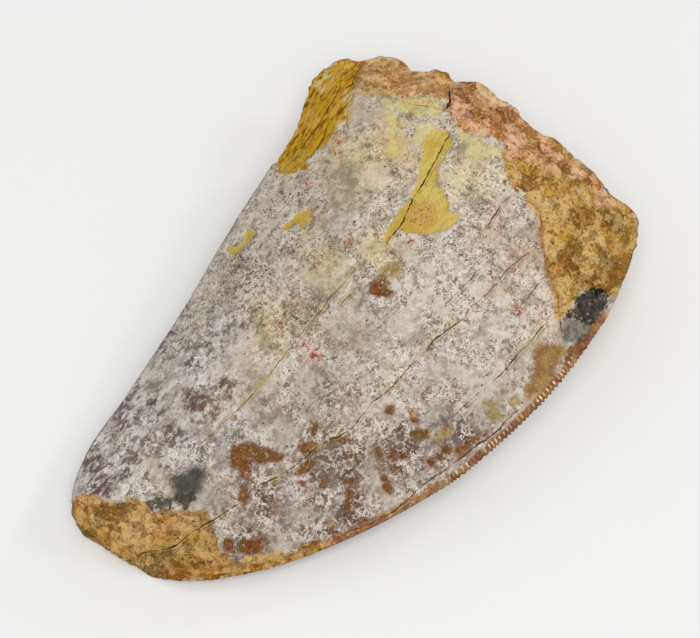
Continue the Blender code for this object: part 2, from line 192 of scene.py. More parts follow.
# Outlines of the markings, in pixels of the frame
STRIP = [
    (272, 168), (274, 158), (280, 142), (288, 133), (294, 124), (298, 106), (300, 86), (306, 66),
    (330, 46), (352, 48), (361, 62), (356, 74), (354, 82), (355, 92), (352, 100), (347, 108),
    (347, 118), (340, 120), (333, 130), (325, 142), (318, 148), (311, 156), (305, 162), (311, 171),
    (298, 168), (293, 171), (283, 171),
]
TAN_BAND = [
    (340, 50), (385, 42), (425, 62), (462, 74), (458, 90), (450, 102), (430, 97), (410, 99),
    (390, 94), (372, 90), (360, 93), (346, 90), (346, 66),
]
RED_BAND = [
    (446, 66), (480, 76), (520, 105), (560, 136), (600, 175), (616, 200), (598, 202), (588, 184),
    (574, 175), (560, 168), (540, 160), (520, 159), (510, 155), (505, 146), (495, 138),
    (480, 133), (465, 129), (455, 120), (445, 111), (443, 98), (452, 88),
]
CORNER = [
    (504, 152), (520, 148), (545, 152), (575, 162), (598, 176), (612, 190), (650, 200),
    (655, 250), (635, 290), (612, 303), (586, 296), (576, 305), (560, 312), (557, 292),
    (549, 275), (545, 250), (541, 232), (542, 220), (539, 209), (530, 202), (517, 192),
    (508, 176),
]
YELLOW_FLAKES = [
    [
        (428, 132), (436, 127), (447, 130), (450, 136), (453, 146), (447, 150), (444, 158),
        (438, 164), (437, 176), (437, 186), (444, 194), (450, 204), (448, 211), (460, 213),
        (456, 223), (446, 229), (438, 231), (430, 234), (416, 233), (406, 232), (398, 229),
        (390, 237), (385, 243), (383, 239), (388, 228), (394, 219), (398, 213), (402, 207),
        (410, 199), (411, 192), (415, 188), (419, 174), (420, 160), (424, 150), (420, 142),
    ],
    [
        (284, 230), (284, 224), (291, 218), (296, 212), (303, 212), (306, 207), (312, 209),
        (310, 214), (312, 219), (305, 225), (302, 230), (299, 222), (293, 223), (290, 229),
    ],
    [
        (225, 248), (229, 246), (236, 248), (240, 244), (243, 242), (244, 233), (248, 229),
        (257, 231), (252, 236), (250, 241), (242, 247), (239, 252), (232, 255), (228, 251),
    ],
]
PALE_FLAKES = [
    [(384, 98), (395, 98), (399, 103), (394, 112), (398, 124), (396, 136), (401, 148), (394, 158),
     (386, 150), (385, 140), (389, 126), (387, 112)],
    [(396, 101), (410, 98), (430, 99), (444, 104), (442, 112), (430, 116), (412, 113), (398, 112)],
    [(420, 143), (426, 134), (436, 128), (430, 122), (418, 128), (414, 138)],
    [(455, 128), (464, 130), (472, 136), (486, 142), (499, 148), (507, 156), (490, 158), (468, 157),
     (470, 148), (462, 140)],
]
ORANGE_GRAINS = [
    [(414, 206), (428, 200), (437, 206), (434, 222), (420, 226), (408, 222)],
    [(390, 138), (399, 138), (399, 150), (391, 151)],
    [(302, 212), (308, 208), (311, 214), (305, 221)],
]
AMBER_PATCHES = [
    [(231, 443), (246, 441), (262, 446), (276, 449), (284, 455), (280, 462), (266, 463), (254, 466),
     (250, 474), (250, 481), (240, 481), (238, 472), (231, 467), (229, 456)],
    [(300, 442), (316, 441), (319, 450), (310, 457), (318, 462), (312, 470), (300, 477), (291, 474),
     (298, 466), (306, 460), (300, 452)],
    [(330, 437), (348, 438), (350, 443), (332, 444)],
    [(373, 445), (382, 446), (385, 458), (380, 462), (371, 453)],
    [(384, 406), (396, 404), (395, 414), (386, 415)],
    [(310, 420), (318, 420), (318, 428), (314, 436), (309, 430)],
    [(372, 280), (384, 276), (390, 288), (396, 290), (388, 297), (373, 296), (370, 288)],
    [(410, 432), (420, 429), (432, 431), (430, 436), (414, 442)],
    [(320, 477), (327, 476), (325, 489), (318, 488)],
    [(300, 480), (309, 480), (304, 488), (299, 486)],
    [(342, 478), (354, 478), (353, 486), (344, 484)],
    [(346, 490), (352, 488), (354, 500), (346, 503)],
    [(236, 541), (262, 538), (262, 552), (250, 558), (238, 552)],
    [(294, 545), (318, 540), (327, 548), (312, 556), (300, 553)],
    [(240, 485), (250, 485), (250, 498), (244, 506), (238, 500)],
    [(570, 346), (582, 337), (593, 332), (588, 345), (577, 358), (567, 369), (564, 360)],
    [(468, 440), (478, 435), (490, 433), (482, 441), (470, 450), (458, 458), (455, 450)],
]
OLIVE_PATCHES = [
    [(380, 272), (390, 262), (402, 262), (404, 270), (394, 278), (384, 280)],
    [(436, 430), (450, 428), (452, 438), (440, 442), (434, 437)],
    [(482, 402), (498, 400), (499, 406), (484, 407)],
    [(484, 408), (500, 410), (508, 416), (498, 422), (488, 417)],
    [(328, 516), (334, 516), (335, 526), (328, 527)],
    [(508, 398), (519, 394), (521, 404), (511, 408)],
]
AMBER_SIDE = [
    (532, 350), (545, 343), (561, 345), (566, 349), (562, 362), (557, 368), (556, 380), (545, 390),
    (532, 400), (524, 400), (526, 384), (534, 372),
]
BLACK_PATCH = [
    (577, 300), (585, 290), (598, 286), (608, 293), (606, 308), (598, 322), (588, 326),
    (580, 322), (566, 318), (566, 314), (574, 308),
]
SLATE_PATCH = [(562, 318), (572, 316), (594, 322), (590, 338), (574, 344), (562, 342)]
DARK_BLOTCHES = [
    [(176, 497), (184, 491), (194, 494), (197, 499), (190, 505), (186, 512), (181, 512), (180, 503)],
    [(140, 502), (153, 502), (160, 495), (168, 496), (172, 503), (168, 509), (152, 510), (142, 508)],
]

# Round markings, as (x, y, radius) in pixels of the frame
SPOTS = {
    "amber": [
        (392, 456, 5), (228, 545, 7), (365, 524, 5), (415, 420, 4), (350, 456, 4), (395, 470, 4),
        (405, 455, 4), (388, 488, 6), (275, 512, 4), (385, 478, 4), (440, 457, 5), (432, 462, 5),
        (348, 506, 5), (358, 506, 4), (447, 450, 5),
    ],
    "speck": [
        (337, 143, 4), (335, 150, 4), (306, 347, 4), (313, 353, 6), (321, 356, 4), (302, 361, 3),
        (279, 325, 4), (350, 239, 4), (411, 240, 4), (518, 309, 4), (485, 453, 3), (357, 351, 2),
        (414, 412, 4), (346, 243, 2), (308, 183, 4),
    ],
    "purple": [
        (102, 486, 13), (94, 464, 11), (86, 457, 7), (113, 466, 5), (197, 402, 11), (172, 434, 9),
        (120, 408, 7), (112, 417, 5), (128, 396, 5), (160, 347, 6), (122, 424, 7), (150, 401, 5),
        (228, 388, 8), (160, 466, 3), (147, 474, 3), (166, 358, 4), (126, 471, 4), (136, 388, 4),
        (185, 312, 5), (170, 333, 4), (393, 174, 5), (507, 158, 6),
    ],
    "brown": [
        (208, 404, 11), (198, 420, 9), (152, 446, 11), (140, 452, 6), (214, 412, 6), (352, 392, 9),
    ],
    "dots": [
        (250, 282, 15), (262, 268, 12), (368, 268, 8), (290, 245, 9), (302, 196, 10), (268, 212, 8),
        (240, 268, 14), (286, 198, 8), (330, 235, 8), (325, 205, 7), (228, 282, 8),
    ],
}

# Wide soft changes of tone on the enamel, and hues of the bare places, in the same way
TONES = {
    "warm_tone": [
        (365, 145, 48), (262, 328, 30), (325, 262, 22), (378, 250, 24), (468, 176, 30),
    ],
    "pink_tone": [
        (520, 258, 34), (500, 230, 26), (548, 300, 20), (300, 315, 24), (545, 325, 25),
        (410, 160, 26),
    ],
    "lilac_tone": [
        (450, 375, 42), (360, 120, 20), (335, 375, 28), (250, 420, 40), (310, 400, 30),
        (420, 450, 35), (300, 500, 50),
    ],
    "slate_tone": [
        (150, 420, 50), (115, 465, 45), (185, 370, 40), (225, 330, 25), (200, 440, 40),
    ],
    "deep_tone": [
        (330, 470, 55), (255, 500, 45), (400, 450, 42), (455, 430, 36), (250, 545, 30),
        (345, 515, 45),
    ],
    "crust_tone": [
        (460, 320, 75), (400, 400, 75), (330, 480, 75), (480, 220, 45), (260, 510, 45),
        (520, 330, 50),
    ],
    "glass_tone": [
        (285, 435, 16), (315, 385, 18), (290, 515, 13), (222, 490, 16), (170, 405, 18),
        (370, 480, 14), (330, 275, 22), (350, 330, 22), (345, 180, 24), (250, 405, 12),
        (240, 345, 18), (175, 375, 14),
    ],
    "smoke_tone": [
        (189, 485, 16), (195, 475, 11), (181, 483, 11), (184, 495, 13),
    ],
    "pitted_tone": [
        (250, 290, 40), (300, 255, 30), (300, 320, 34), (250, 240, 26), (330, 390, 26),
        (215, 345, 26),
    ],
    "gold_tone": [
        (392, 126, 10), (397, 146, 12), (414, 108, 12), (480, 150, 12), (408, 160, 10),
        (430, 106, 10),
    ],
    "golden_tone": [
        (404, 224, 18), (432, 222, 14), (393, 236, 10),
    ],
    "rust_hue": [
        (75, 503, 7), (88, 502, 8), (110, 506, 9), (166, 526, 9), (98, 543, 5), (158, 552, 8),
        (184, 574, 9), (216, 566, 10), (232, 549, 9), (366, 80, 9), (383, 72, 9), (404, 72, 8),
        (424, 83, 6), (355, 95, 7), (436, 92, 8), (449, 100, 7), (462, 98, 9), (484, 126, 12),
        (538, 147, 10), (549, 172, 10), (594, 180, 9), (606, 206, 12), (613, 246, 9),
        (576, 262, 10), (592, 270, 8), (586, 243, 6),
    ],
    "yellow_hue": [
        (130, 499, 7), (92, 526, 11), (78, 526, 7), (124, 544, 9), (203, 511, 11), (212, 532, 6),
        (207, 551, 7), (181, 556, 6), (330, 76, 10), (300, 154, 8), (285, 165, 8), (308, 208, 4),
        (385, 60, 6), (490, 102, 8), (502, 113, 6), (576, 188, 12), (588, 200, 8), (556, 242, 11),
        (561, 285, 9), (572, 302, 8), (532, 168, 9),
    ],
    "cream_hue": [
        (347, 94, 8), (350, 112, 8), (340, 124, 7), (318, 86, 7), (97, 519, 8), (131, 533, 9),
        (152, 530, 11), (192, 524, 11), (190, 546, 8), (165, 563, 8), (326, 74, 6), (470, 118, 6),
        (546, 202, 9), (562, 216, 9), (601, 240, 7), (606, 262, 11), (622, 224, 9), (520, 180, 8),
        (141, 562, 6),
    ],
    "rose_hue": [
        (182, 521, 8), (324, 64, 7), (396, 66, 8), (412, 78, 7), (474, 124, 6), (508, 131, 8),
        (522, 144, 6), (556, 158, 6), (520, 250, 14),
    ],
    "brown_hue": [
        (458, 112, 7), (471, 116, 6), (126, 519, 6), (209, 543, 6), (205, 562, 5), (466, 107, 6),
        (541, 146, 5), (592, 178, 6), (449, 107, 5), (108, 548, 5), (590, 262, 5), (575, 255, 4),
        (597, 283, 6), (137, 561, 3), (601, 188, 4),
    ],
}

# Cracks: pixels of the frame, half width and depth in millimetres, and the stain beside them
CRACKS = [
    ([(452, 129), (445, 140), (441, 148), (434, 162), (430, 168), (424, 180), (418, 190),
      (412, 198), (408, 208), (403, 220), (397, 229), (390, 238), (384, 249)], 0.1, 0.16, None),
    ([(404, 221), (396, 228), (391, 235), (385, 239)], 0.06, 0.12, None),
    ([(362, 262), (356, 268), (344, 283), (330, 297), (322, 308), (313, 320), (300, 335),
      (288, 350), (274, 368), (260, 385), (245, 402), (232, 415), (215, 430), (197, 448)],
     0.045, 0.08, "olive"),
    ([(358, 290), (350, 294), (342, 303), (334, 309)], 0.05, 0.08, "olive"),
    ([(548, 243), (538, 250), (525, 255), (515, 263), (505, 272), (497, 283), (488, 293),
      (478, 302), (470, 308), (462, 320)], 0.05, 0.08, "red"),
    ([(462, 320), (450, 328), (440, 335), (433, 341), (428, 349), (420, 358), (410, 366),
      (402, 376), (393, 386), (384, 394), (374, 401), (362, 415), (352, 428), (340, 436),
      (322, 443), (315, 449), (303, 459), (290, 469), (276, 478), (262, 484), (252, 490),
      (244, 501), (230, 509), (218, 517), (204, 525), (192, 533), (184, 539), (176, 546),
      (165, 549), (150, 551), (135, 557)], 0.09, 0.14, "olive"),
    ([(548, 322), (542, 327), (537, 333), (530, 343), (520, 352), (508, 366), (498, 377),
      (488, 386)], 0.075, 0.12, "olive"),
    ([(482, 390), (470, 401), (460, 410), (445, 423)], 0.05, 0.08, None),
    ([(408, 424), (398, 430), (388, 438), (372, 447), (364, 460), (352, 468), (345, 475),
      (332, 480)], 0.055, 0.09, None),
    ([(513, 193), (503, 203), (495, 214), (488, 225), (482, 230)], 0.075, 0.12, "red"),
    ([(513, 195), (530, 202), (540, 210), (542, 220), (541, 232), (545, 250), (545, 262),
      (548, 272), (553, 285), (558, 292), (560, 305), (560, 318), (563, 340)], 0.055, 0.1, "red"),
    ([(519, 409), (510, 418), (504, 423), (497, 432), (482, 442), (470, 451), (458, 460),
      (450, 466)], 0.11, 0.14, "red"),
    ([(450, 466), (440, 474), (425, 484), (415, 493), (405, 503), (393, 512), (380, 519),
      (365, 527), (354, 530), (340, 534)], 0.09, 0.14, "red"),
    ([(488, 265), (478, 270), (470, 280), (459, 290), (451, 299), (441, 308)], 0.045, 0.07, None),
    ([(540, 281), (534, 290), (528, 298), (520, 307)], 0.075, 0.12, "red"),
    ([(449, 85), (450, 100), (444, 112)], 0.1, 0.25, "red"),
    ([(362, 64), (356, 72), (351, 80), (338, 92)], 0.05, 0.12, None),
    ([(346, 66), (340, 80), (334, 92), (322, 112), (312, 128), (300, 146), (292, 160)],
     0.05, 0.14, None),
    ([(328, 118), (325, 126), (320, 138), (312, 150), (306, 160)], 0.07, 0.16, None),
    ([(306, 124), (298, 138), (290, 150), (284, 160)], 0.05, 0.12, None),
    ([(345, 386), (334, 391), (324, 396), (312, 404), (303, 414)], 0.03, 0.04, None),
    ([(357, 94), (378, 93), (396, 98), (412, 104), (430, 106), (448, 110)], 0.03, 0.04, "olive"),
]


def linear(display):
    """A display colour of three parts from 0 to 255, as the linear colour that a shader takes."""
    shares = np.array(display) / 255
    linear = np.where(shares < 0.04045, shares / 12.92, ((shares + 0.055) / 1.055) ** 2.4)
    return (*linear.tolist(), 1.0)


# --- Form -------------------------------------------------------------------------------------


def curve_through(knots, step, closed=False):
    """Points about step apart on a smooth curve through the knots."""
    knots = np.array(knots, float)
    if closed:
        knots = np.vstack([knots[-1], knots, knots[:2]])
    else:
        knots = np.vstack([2 * knots[0] - knots[1], knots, 2 * knots[-1] - knots[-2]])
    spans = np.diff(knots, axis=0)
    lengths = np.linalg.norm(spans, axis=1)[:, None]
    slopes = spans / lengths
    tangents = (slopes[:-1] * lengths[1:] + slopes[1:] * lengths[:-1]) / (lengths[:-1] + lengths[1:])
    points = []
    for i in range(1, len(knots) - 2):
        count = max(1, round(float(lengths[i, 0]) / step))
        t = (np.arange(count) / count)[:, None]
        rise = t * t * (3 - 2 * t)
        leave = t * (1 - t) ** 2 * lengths[i]
        arrive = t * t * (t - 1) * lengths[i]
        bend = tangents[i - 1] * leave + tangents[i] * arrive
        points.append(knots[i] * (1 - rise) + knots[i + 1] * rise + bend)
    if not closed:
        points.append(knots[-2:-1])
    return np.vstack(points)


def smooth_step(value):
    value = np.clip(value, 0, 1)
    return value * value * (3 - 2 * value)


def lumps(points, width, seed):
    """Soft bumps about width apart, from -1 to 1."""
    shift = Vector((17.3 * seed, -9.1 * seed, 5.7 * seed))
    return np.array([noise.noise(Vector(point) + shift) for point in points / width])


def bumps(points, sizes):
    """Lumps of several sizes, each given as (height, width, seed), on top of each other."""
    return sum(height * lumps(points, width, seed) for height, width, seed in sizes)


def tree_of(points):
    tree = kdtree.KDTree(len(points))
    for index, (x, y) in enumerate(points):
        tree.insert((x, y, 0), index)
    tree.balance()
    return tree


def distance_to(line, points):
    """How far each point is from the nearest of a line's points, and the index of that one."""
    tree = tree_of(line)
    found = [tree.find((x, y, 0))[1:] for x, y in points]
    return np.array([d for _, d in found]), np.array([i for i, _ in found])


def depth_inside(points, polygon):
    """How far each point is inside a closed polygon. Outside it, the value is negative."""
    corners = np.array(polygon, float)
    ends = np.roll(corners, -1, axis=0)
    nearest = np.full(len(points), np.inf)
    inside = np.zeros(len(points), bool)
    for a, b in zip(corners, ends):
        along = b - a
        share = np.clip((points - a) @ along / (along @ along), 0, 1)
        nearest = np.minimum(nearest, np.linalg.norm(points - a - share[:, None] * along, axis=1))
        straddles = (a[1] > points[:, 1]) != (b[1] > points[:, 1])
        rise = along[1] if along[1] else 1e-9
        inside ^= straddles & (points[:, 0] < a[0] + (points[:, 1] - a[1]) * along[0] / rise)
    return np.where(inside, nearest, -nearest)


def run_lengths(line):
    """Length run from the first point of a line to each of its points."""
    return np.append(0, np.cumsum(np.linalg.norm(np.diff(line, axis=0), axis=1)))


def directions(line):
    along = np.gradient(line, axis=0)
    return along / np.linalg.norm(along, axis=1)[:, None]


MESIAL_LINE = curve_through(MESIAL_BEYOND_TIP + MESIAL_EDGE + MESIAL_BEYOND_BASE, LINE_STEP)
DISTAL_LINE = curve_through(DISTAL_BEYOND_BASE + DISTAL_EDGE + DISTAL_BEYOND_TIP, LINE_STEP)[::-1]
RIM_LINE = curve_through(MESIAL_EDGE[-3:] + BASE_EDGE + DISTAL_EDGE[:1], LINE_STEP)
OUTLINE = curve_through(MESIAL_EDGE + BASE_EDGE + DISTAL_EDGE + TIP_EDGE, LINE_STEP, closed=True)
TIP_LINE = curve_through(DISTAL_EDGE[-1:] + TIP_EDGE + MESIAL_EDGE[:2], LINE_STEP)
SERRATED_LINE = curve_through(MESIAL_EDGE, LINE_STEP)
SERRATED_RUN = run_lengths(SERRATED_LINE)


def rim_x(y):
    """X of the base's rim, from across the crown."""
    return np.interp(y, RIM_LINE[:, 1], RIM_LINE[:, 0])


def lens(x, y):
    """Upper, under and edge height of the unbroken crown at a place seen from above."""
    low = np.interp(x, MESIAL_LINE[:, 0], MESIAL_LINE[:, 1])
    high = np.interp(x, DISTAL_LINE[:, 0], DISTAL_LINE[:, 1])
    across = np.clip((2 * y - low - high) / (high - low), -1, 1)
    share = (across + 1) / 2
    mesial = np.interp(x, *zip(*MESIAL_HEIGHT))
    distal = np.interp(x, *zip(*DISTAL_HEIGHT))
    edge = (1 - share) * mesial + share * distal
    crest = CREST_AT_MIDDLE + CREST_RISE * x - CREST_BOW * x * x
    upper = edge + (crest - edge) * (1 - np.abs(across) ** EDGE_PINCH)
    under = edge - (edge + REST_DEPTH) * (1 - np.abs(across) ** UNDER_PINCH)
    return upper, np.maximum(under, 0), edge


def broken_faces(x, y):
    """Upper and under height with the base's bevelled rim and the tip's sloping fracture."""
    upper, under, edge = lens(x, y)
    from_rim = rim_x(y) - x
    room = np.clip((upper - edge) / 4, 0, 1)
    upper -= BEVEL_DROP * room * smooth_step(1 - from_rim / BEVEL_RUN)
    room = np.clip((edge - under) / 4, 0, 1)
    under += UNDER_BEVEL_DROP * room * smooth_step(1 - from_rim / UNDER_BEVEL_RUN)
    points = np.column_stack([x, y])
    past_ledge = depth_inside(points, TIP_BREAK)
    upper -= TIP_SLOPE * np.maximum(past_ledge, 0)
    upper -= TIP_LEDGE_DROP * smooth_step(past_ledge / 0.3 + 0.5)
    upper = np.maximum(upper, under)
    middle = (upper + under) / 2
    near, _ = distance_to(TIP_LINE, points)
    open_share = np.sqrt(np.clip(1 - (1 - np.minimum(near / TIP_ROUNDING, 1)) ** 2, 0, 1))
    return middle + (upper - middle) * open_share, middle + (under - middle) * open_share


def fold(past):
    """How far a pattern point past the rim still moves out, and how far it drops."""
    past = np.maximum(past, 0)
    out = RIM_RADIUS * (1 - np.exp(-past / RIM_RADIUS))
    return out, past - out


def place(pattern, upper_side):
    """Pattern points of one sheet as points in space."""
    x, y = pattern.T
    rim = rim_x(y)
    out, drop = fold(x - rim)
    seen_x = np.where(x > rim, rim + out, x)
    upper, under = broken_faces(seen_x, y)
    height = upper - drop if upper_side else under + drop
    return np.column_stack([seen_x, y, height])


def unfolded_outline(outline):
    """Outline points moved out along X by what the end face unfolds to in the pattern."""
    x, y = outline.T
    upper, under = broken_faces(x, y)
    half = np.where(x > DISTAL_EDGE[3][0], (upper - under) / 2, 0)
    at_rim = np.abs(x - rim_x(y)) < RIM_BAND
    past = np.arange(0, END_FACE_REACH, 0.01)
    _, drop = fold(past)
    unfolded = np.interp(half, drop, past)
    return np.column_stack([x + np.where(at_rim, unfolded, 0), y])


# --- What the camera sees ---------------------------------------------------------------------


def camera_axes():
    """Directions in space of the frame's right, its top, and the way back to the camera."""
    turn, rise = CAMERA_AZIMUTH, CAMERA_ELEVATION
    right = np.array([math.cos(turn), math.sin(turn), 0])
    back = np.array([math.sin(turn) * math.cos(rise), -math.cos(turn) * math.cos(rise), math.sin(rise)])
    return right, np.cross(back, right), back


def to_frame(points):
    """Pixels of the frame at which points in space are seen."""
    right, top, back = camera_axes()
    view = points - (CAMERA_AIM + back * CAMERA_DISTANCE)
    scale = FOCAL_PIXELS / -(view @ back)
    across = FRAME_WIDTH / 2 + scale * (view @ right)
    down = FRAME_HEIGHT / 2 - scale * (view @ top)
    return np.column_stack([across, down])


def seen_at(pattern):
    """Pixels at which the upper face shows each pattern point. Past the rim, those of the rim."""
    x, y = pattern.T
    return to_frame(place(np.column_stack([np.minimum(x, rim_x(y)), y]), True))


# --- Mesh -------------------------------------------------------------------------------------


def edge_points():
    """Pattern outline, with close points where it is serrated and wider steps elsewhere."""
    outline = unfolded_outline(OUTLINE)
    closed = np.vstack([outline, outline[:1]])
    run = run_lengths(closed)
    seen = OUTLINE[:, 0]
    reach = DENTICLES_WORN_OVER / 2
    serrated = (OUTLINE[:, 1] < 0) & (seen > DENTICLES_FROM_X - reach) & (seen < DENTICLES_TO_X + reach)
    first, last = run[np.flatnonzero(serrated)[[0, -1]]]
    rest = run[-1] - last + first
    wide = np.linspace(last, last + rest, round(rest / EDGE_STEP), endpoint=False) % run[-1]
    close = np.linspace(first, last, round((last - first) / DENTICLE_STEP), endpoint=False)
    places = np.sort(np.concatenate([close, wide]))
    return np.column_stack([np.interp(places, run, closed[:, 0]), np.interp(places, run, closed[:, 1])])


def honeycomb(low, high, spacing):
    """Points of a triangular grid over a box."""
    rows = np.arange(low[1], high[1], spacing * math.sqrt(3) / 2)
    columns = np.arange(low[0], high[0], spacing)
    x, y = np.meshgrid(columns, rows)
    x[1::2] += spacing / 2
    return np.column_stack([x.ravel(), y.ravel()])


def inside_edge(edge, points):
    """How far each point is inside the pattern's outline, from the nearest of its points."""
    near, index = distance_to(edge, points)
    along = (np.roll(edge, -1, axis=0) - np.roll(edge, 1, axis=0))[index]
    offset = points - edge[index]
    turns_left = along[:, 0] * offset[:, 1] - along[:, 1] * offset[:, 0] > 0
    return np.where(turns_left, near, -near)


def sheet_points(edge, levels):
    """Points of one sheet: its edge, then each level's grid where that level is wanted."""
    kept = edge
    for spacing, wanted in levels:
        grid = honeycomb(edge.min(axis=0), edge.max(axis=0), spacing)
        grid = grid[wanted(grid)]
        grid = grid[inside_edge(edge, grid) > FROM_EDGE_SHARE * spacing]
        near, _ = distance_to(kept, grid)
        kept = np.vstack([kept, grid[near > GAP_SHARE * spacing]])
    return kept


def triangles(points, edge_count):
    """Triangles over a sheet's points, inside its edge, facing up."""
    loop = list(range(edge_count))
    made = geometry.delaunay_2d_cdt([Vector(p) for p in points], [], [loop], 1, 1e-6)
    origin = np.array([sources[0] for sources in made[3]])
    return origin[np.array(made[2])]


def vertex_normals(points, faces):
    """Outward direction at each point, averaged over its faces."""
    a, b, c = (points[faces[:, k]] for k in range(3))
    turned = np.cross(b - a, c - a)
    normals = np.zeros_like(points)
    for k in range(3):
        np.add.at(normals, faces[:, k], turned)
    return normals / np.maximum(np.linalg.norm(normals, axis=1), 1e-12)[:, None]


# --- Markings as distances --------------------------------------------------------------------


def depth_of(pixels, polygons):
    """Depth in millimetres inside the nearest of several outlines."""
    depths = [depth_inside(pixels, polygon) for polygon in polygons]
    return np.maximum(np.max(depths, axis=0) / PIXELS_PER_MM, FAR)


def depth_of_spots(pixels, spots):
    """Depth in millimetres inside the nearest of several round spots."""
    depths = [radius - np.hypot(pixels[:, 0] - x, pixels[:, 1] - y) for x, y, radius in spots]
    return np.maximum(np.max(depths, axis=0) / PIXELS_PER_MM, FAR)


def tone_of(pixels, spots):
    """Strength from 0 to 1 of a wide soft tone."""
    shares = [np.exp(-((pixels - (x, y)) ** 2).sum(axis=1) / radius**2) for x, y, radius in spots]
    return np.max(shares, axis=0)


def straight_line(knots, step):
    """Points a step apart on straight runs between the knots."""
    knots = np.array(knots, float)
    run = run_lengths(knots)
    places = np.arange(0, run[-1], step)
    return np.column_stack([np.interp(places, run, knots[:, axis]) for axis in range(2)])


def crack_field():
    """Every crack as one set of points: pixels, direction, half width, depth and stains there."""
    parts = []
    for number, (knots, half_width, deep, stain) in enumerate(CRACKS):
        line = straight_line(knots, CRACK_STEP)
        run = run_lengths(line) / PIXELS_PER_MM
        along_run = np.column_stack([run, run * 0, run * 0])
        wander = CRACK_WANDER * lumps(along_run, 0.5, 40 + number)
        along = directions(line)
        line = line + np.column_stack([-along[:, 1], along[:, 0]]) * wander[:, None]
        fade = smooth_step(np.minimum(run, run[-1] - run) / CRACK_FADE)
        share = np.clip(0.7 + 0.8 * lumps(along_run, 1.1, 60 + number), 0.1, 1.2) * fade
        stains = [fade * (stain == name) for name in ("olive", "red")]
        width, depth = half_width * share, CRACK_DEPTH_SHARE * deep * share
        parts.append(np.column_stack([line, directions(line), width, depth, *stains]))
    return np.vstack(parts)


CRACK_FIELD = crack_field()


def cracks_at(pixels):
    """Signed distance to the nearest crack, its half width and depth there, and its stains."""
    near, index = distance_to(CRACK_FIELD[:, :2], pixels)
    x, y, along_x, along_y, width, deep, olive, red = CRACK_FIELD[index].T
    side = (along_x * (pixels[:, 1] - y) - along_y * (pixels[:, 0] - x)) / PIXELS_PER_MM
    near = near / PIXELS_PER_MM
    beside = near < CRACK_REACH
    groove = deep * np.clip(1 - near / (width + CRACK_SHOULDER), 0, 1)
    spill = np.exp(-near / STAIN_REACH)
    return np.where(beside, side, near), np.where(beside, width, 0), groove, olive * spill, red * spill


def denticle_wear(x):
    """1 where denticles stand whole, falling to 0 where they are worn away."""
    from_ends = np.minimum(x - DENTICLES_FROM_X, DENTICLES_TO_X - x)
    return smooth_step(from_ends / DENTICLES_WORN_OVER + 0.5)


def denticles_at(pattern):
    """Ridge of the denticles from 0 to 1, distance to the serrated edge, and the way outward."""
    near, index = distance_to(SERRATED_LINE, pattern)
    run = SERRATED_RUN[index]
    along_run = np.column_stack([run, run * 0, run * 0])
    turns = run / DENTICLE_PITCH + 0.8 * lumps(along_run, 1.6, 31)
    ridge = (np.cos(2 * math.pi * turns) * 0.5 + 0.5) * (0.8 + 0.5 * lumps(along_run, 0.9, 32))
    along = directions(SERRATED_LINE)[index]
    outward = np.column_stack([along[:, 1], -along[:, 0]])
    return ridge, near, outward


def broken_share(pattern, upper_side):
    """1 where a pattern point is on the broken base or tip, falling to 0 on the sound faces."""
    x, y = pattern.T
    run = BEVEL_RUN if upper_side else UNDER_BEVEL_RUN
    broken = smooth_step((1 - (rim_x(y) - x) / run) * 3)
    if upper_side:
        broken = np.maximum(broken, smooth_step(depth_inside(pattern, TIP_BREAK) / 0.4))
    return broken


def markings(pattern, upper_side):
    """Every attribute of the markings at the points of one sheet."""
    pixels = seen_at(pattern)
    none = np.full(len(pattern), FAR)
    marks = {
        "strip": depth_of(pixels, [STRIP]),
        "tan": depth_of(pixels, [TAN_BAND]),
        "red": depth_of(pixels, [RED_BAND]),
        "corner": depth_of(pixels, [CORNER]),
        "tip": np.maximum(depth_inside(pattern, TIP_BREAK), FAR),
        "end": np.clip(pattern[:, 0] - rim_x(pattern[:, 1]), FAR, 5),
    }
    shapes = {
        "yellow": YELLOW_FLAKES,
        "pale": PALE_FLAKES,
        "orange": ORANGE_GRAINS,
        "olive": OLIVE_PATCHES,
        "amber_side": [AMBER_SIDE],
        "black": [BLACK_PATCH],
        "slate": [SLATE_PATCH],
        "blotch": DARK_BLOTCHES,
        "amber": AMBER_PATCHES,
    }
    for name, polygons in shapes.items():
        marks[name] = depth_of(pixels, polygons) if upper_side else none
    for name, places in SPOTS.items():
        depth = depth_of_spots(pixels, places) if upper_side else none
        marks[name] = np.maximum(marks.get(name, FAR), depth)
    for name, places in TONES.items():
        marks[name] = tone_of(pixels, places)
    found = cracks_at(pixels)
    if not upper_side:
        found = (none * -1, *(values * 0 for values in found[1:]))
    marks.update(zip(("crack_side", "crack_width", "crack_depth", "olive_stain", "red_stain"), found))
    ridge, near, _ = denticles_at(pattern)
    marks["edge_near"] = np.minimum(near, 5)
    bead = np.exp(-(((near - BEAD_INSET) / BEAD_WIDTH) ** 2))
    marks["bead"] = ridge * bead * denticle_wear(pattern[:, 0])
    marks["worn"] = 1 - denticle_wear(pattern[:, 0])
    marks["edge_band"] = smooth_step((DENTICLES_TO_X + 2.5 - pattern[:, 0]) / 2)
    return marks


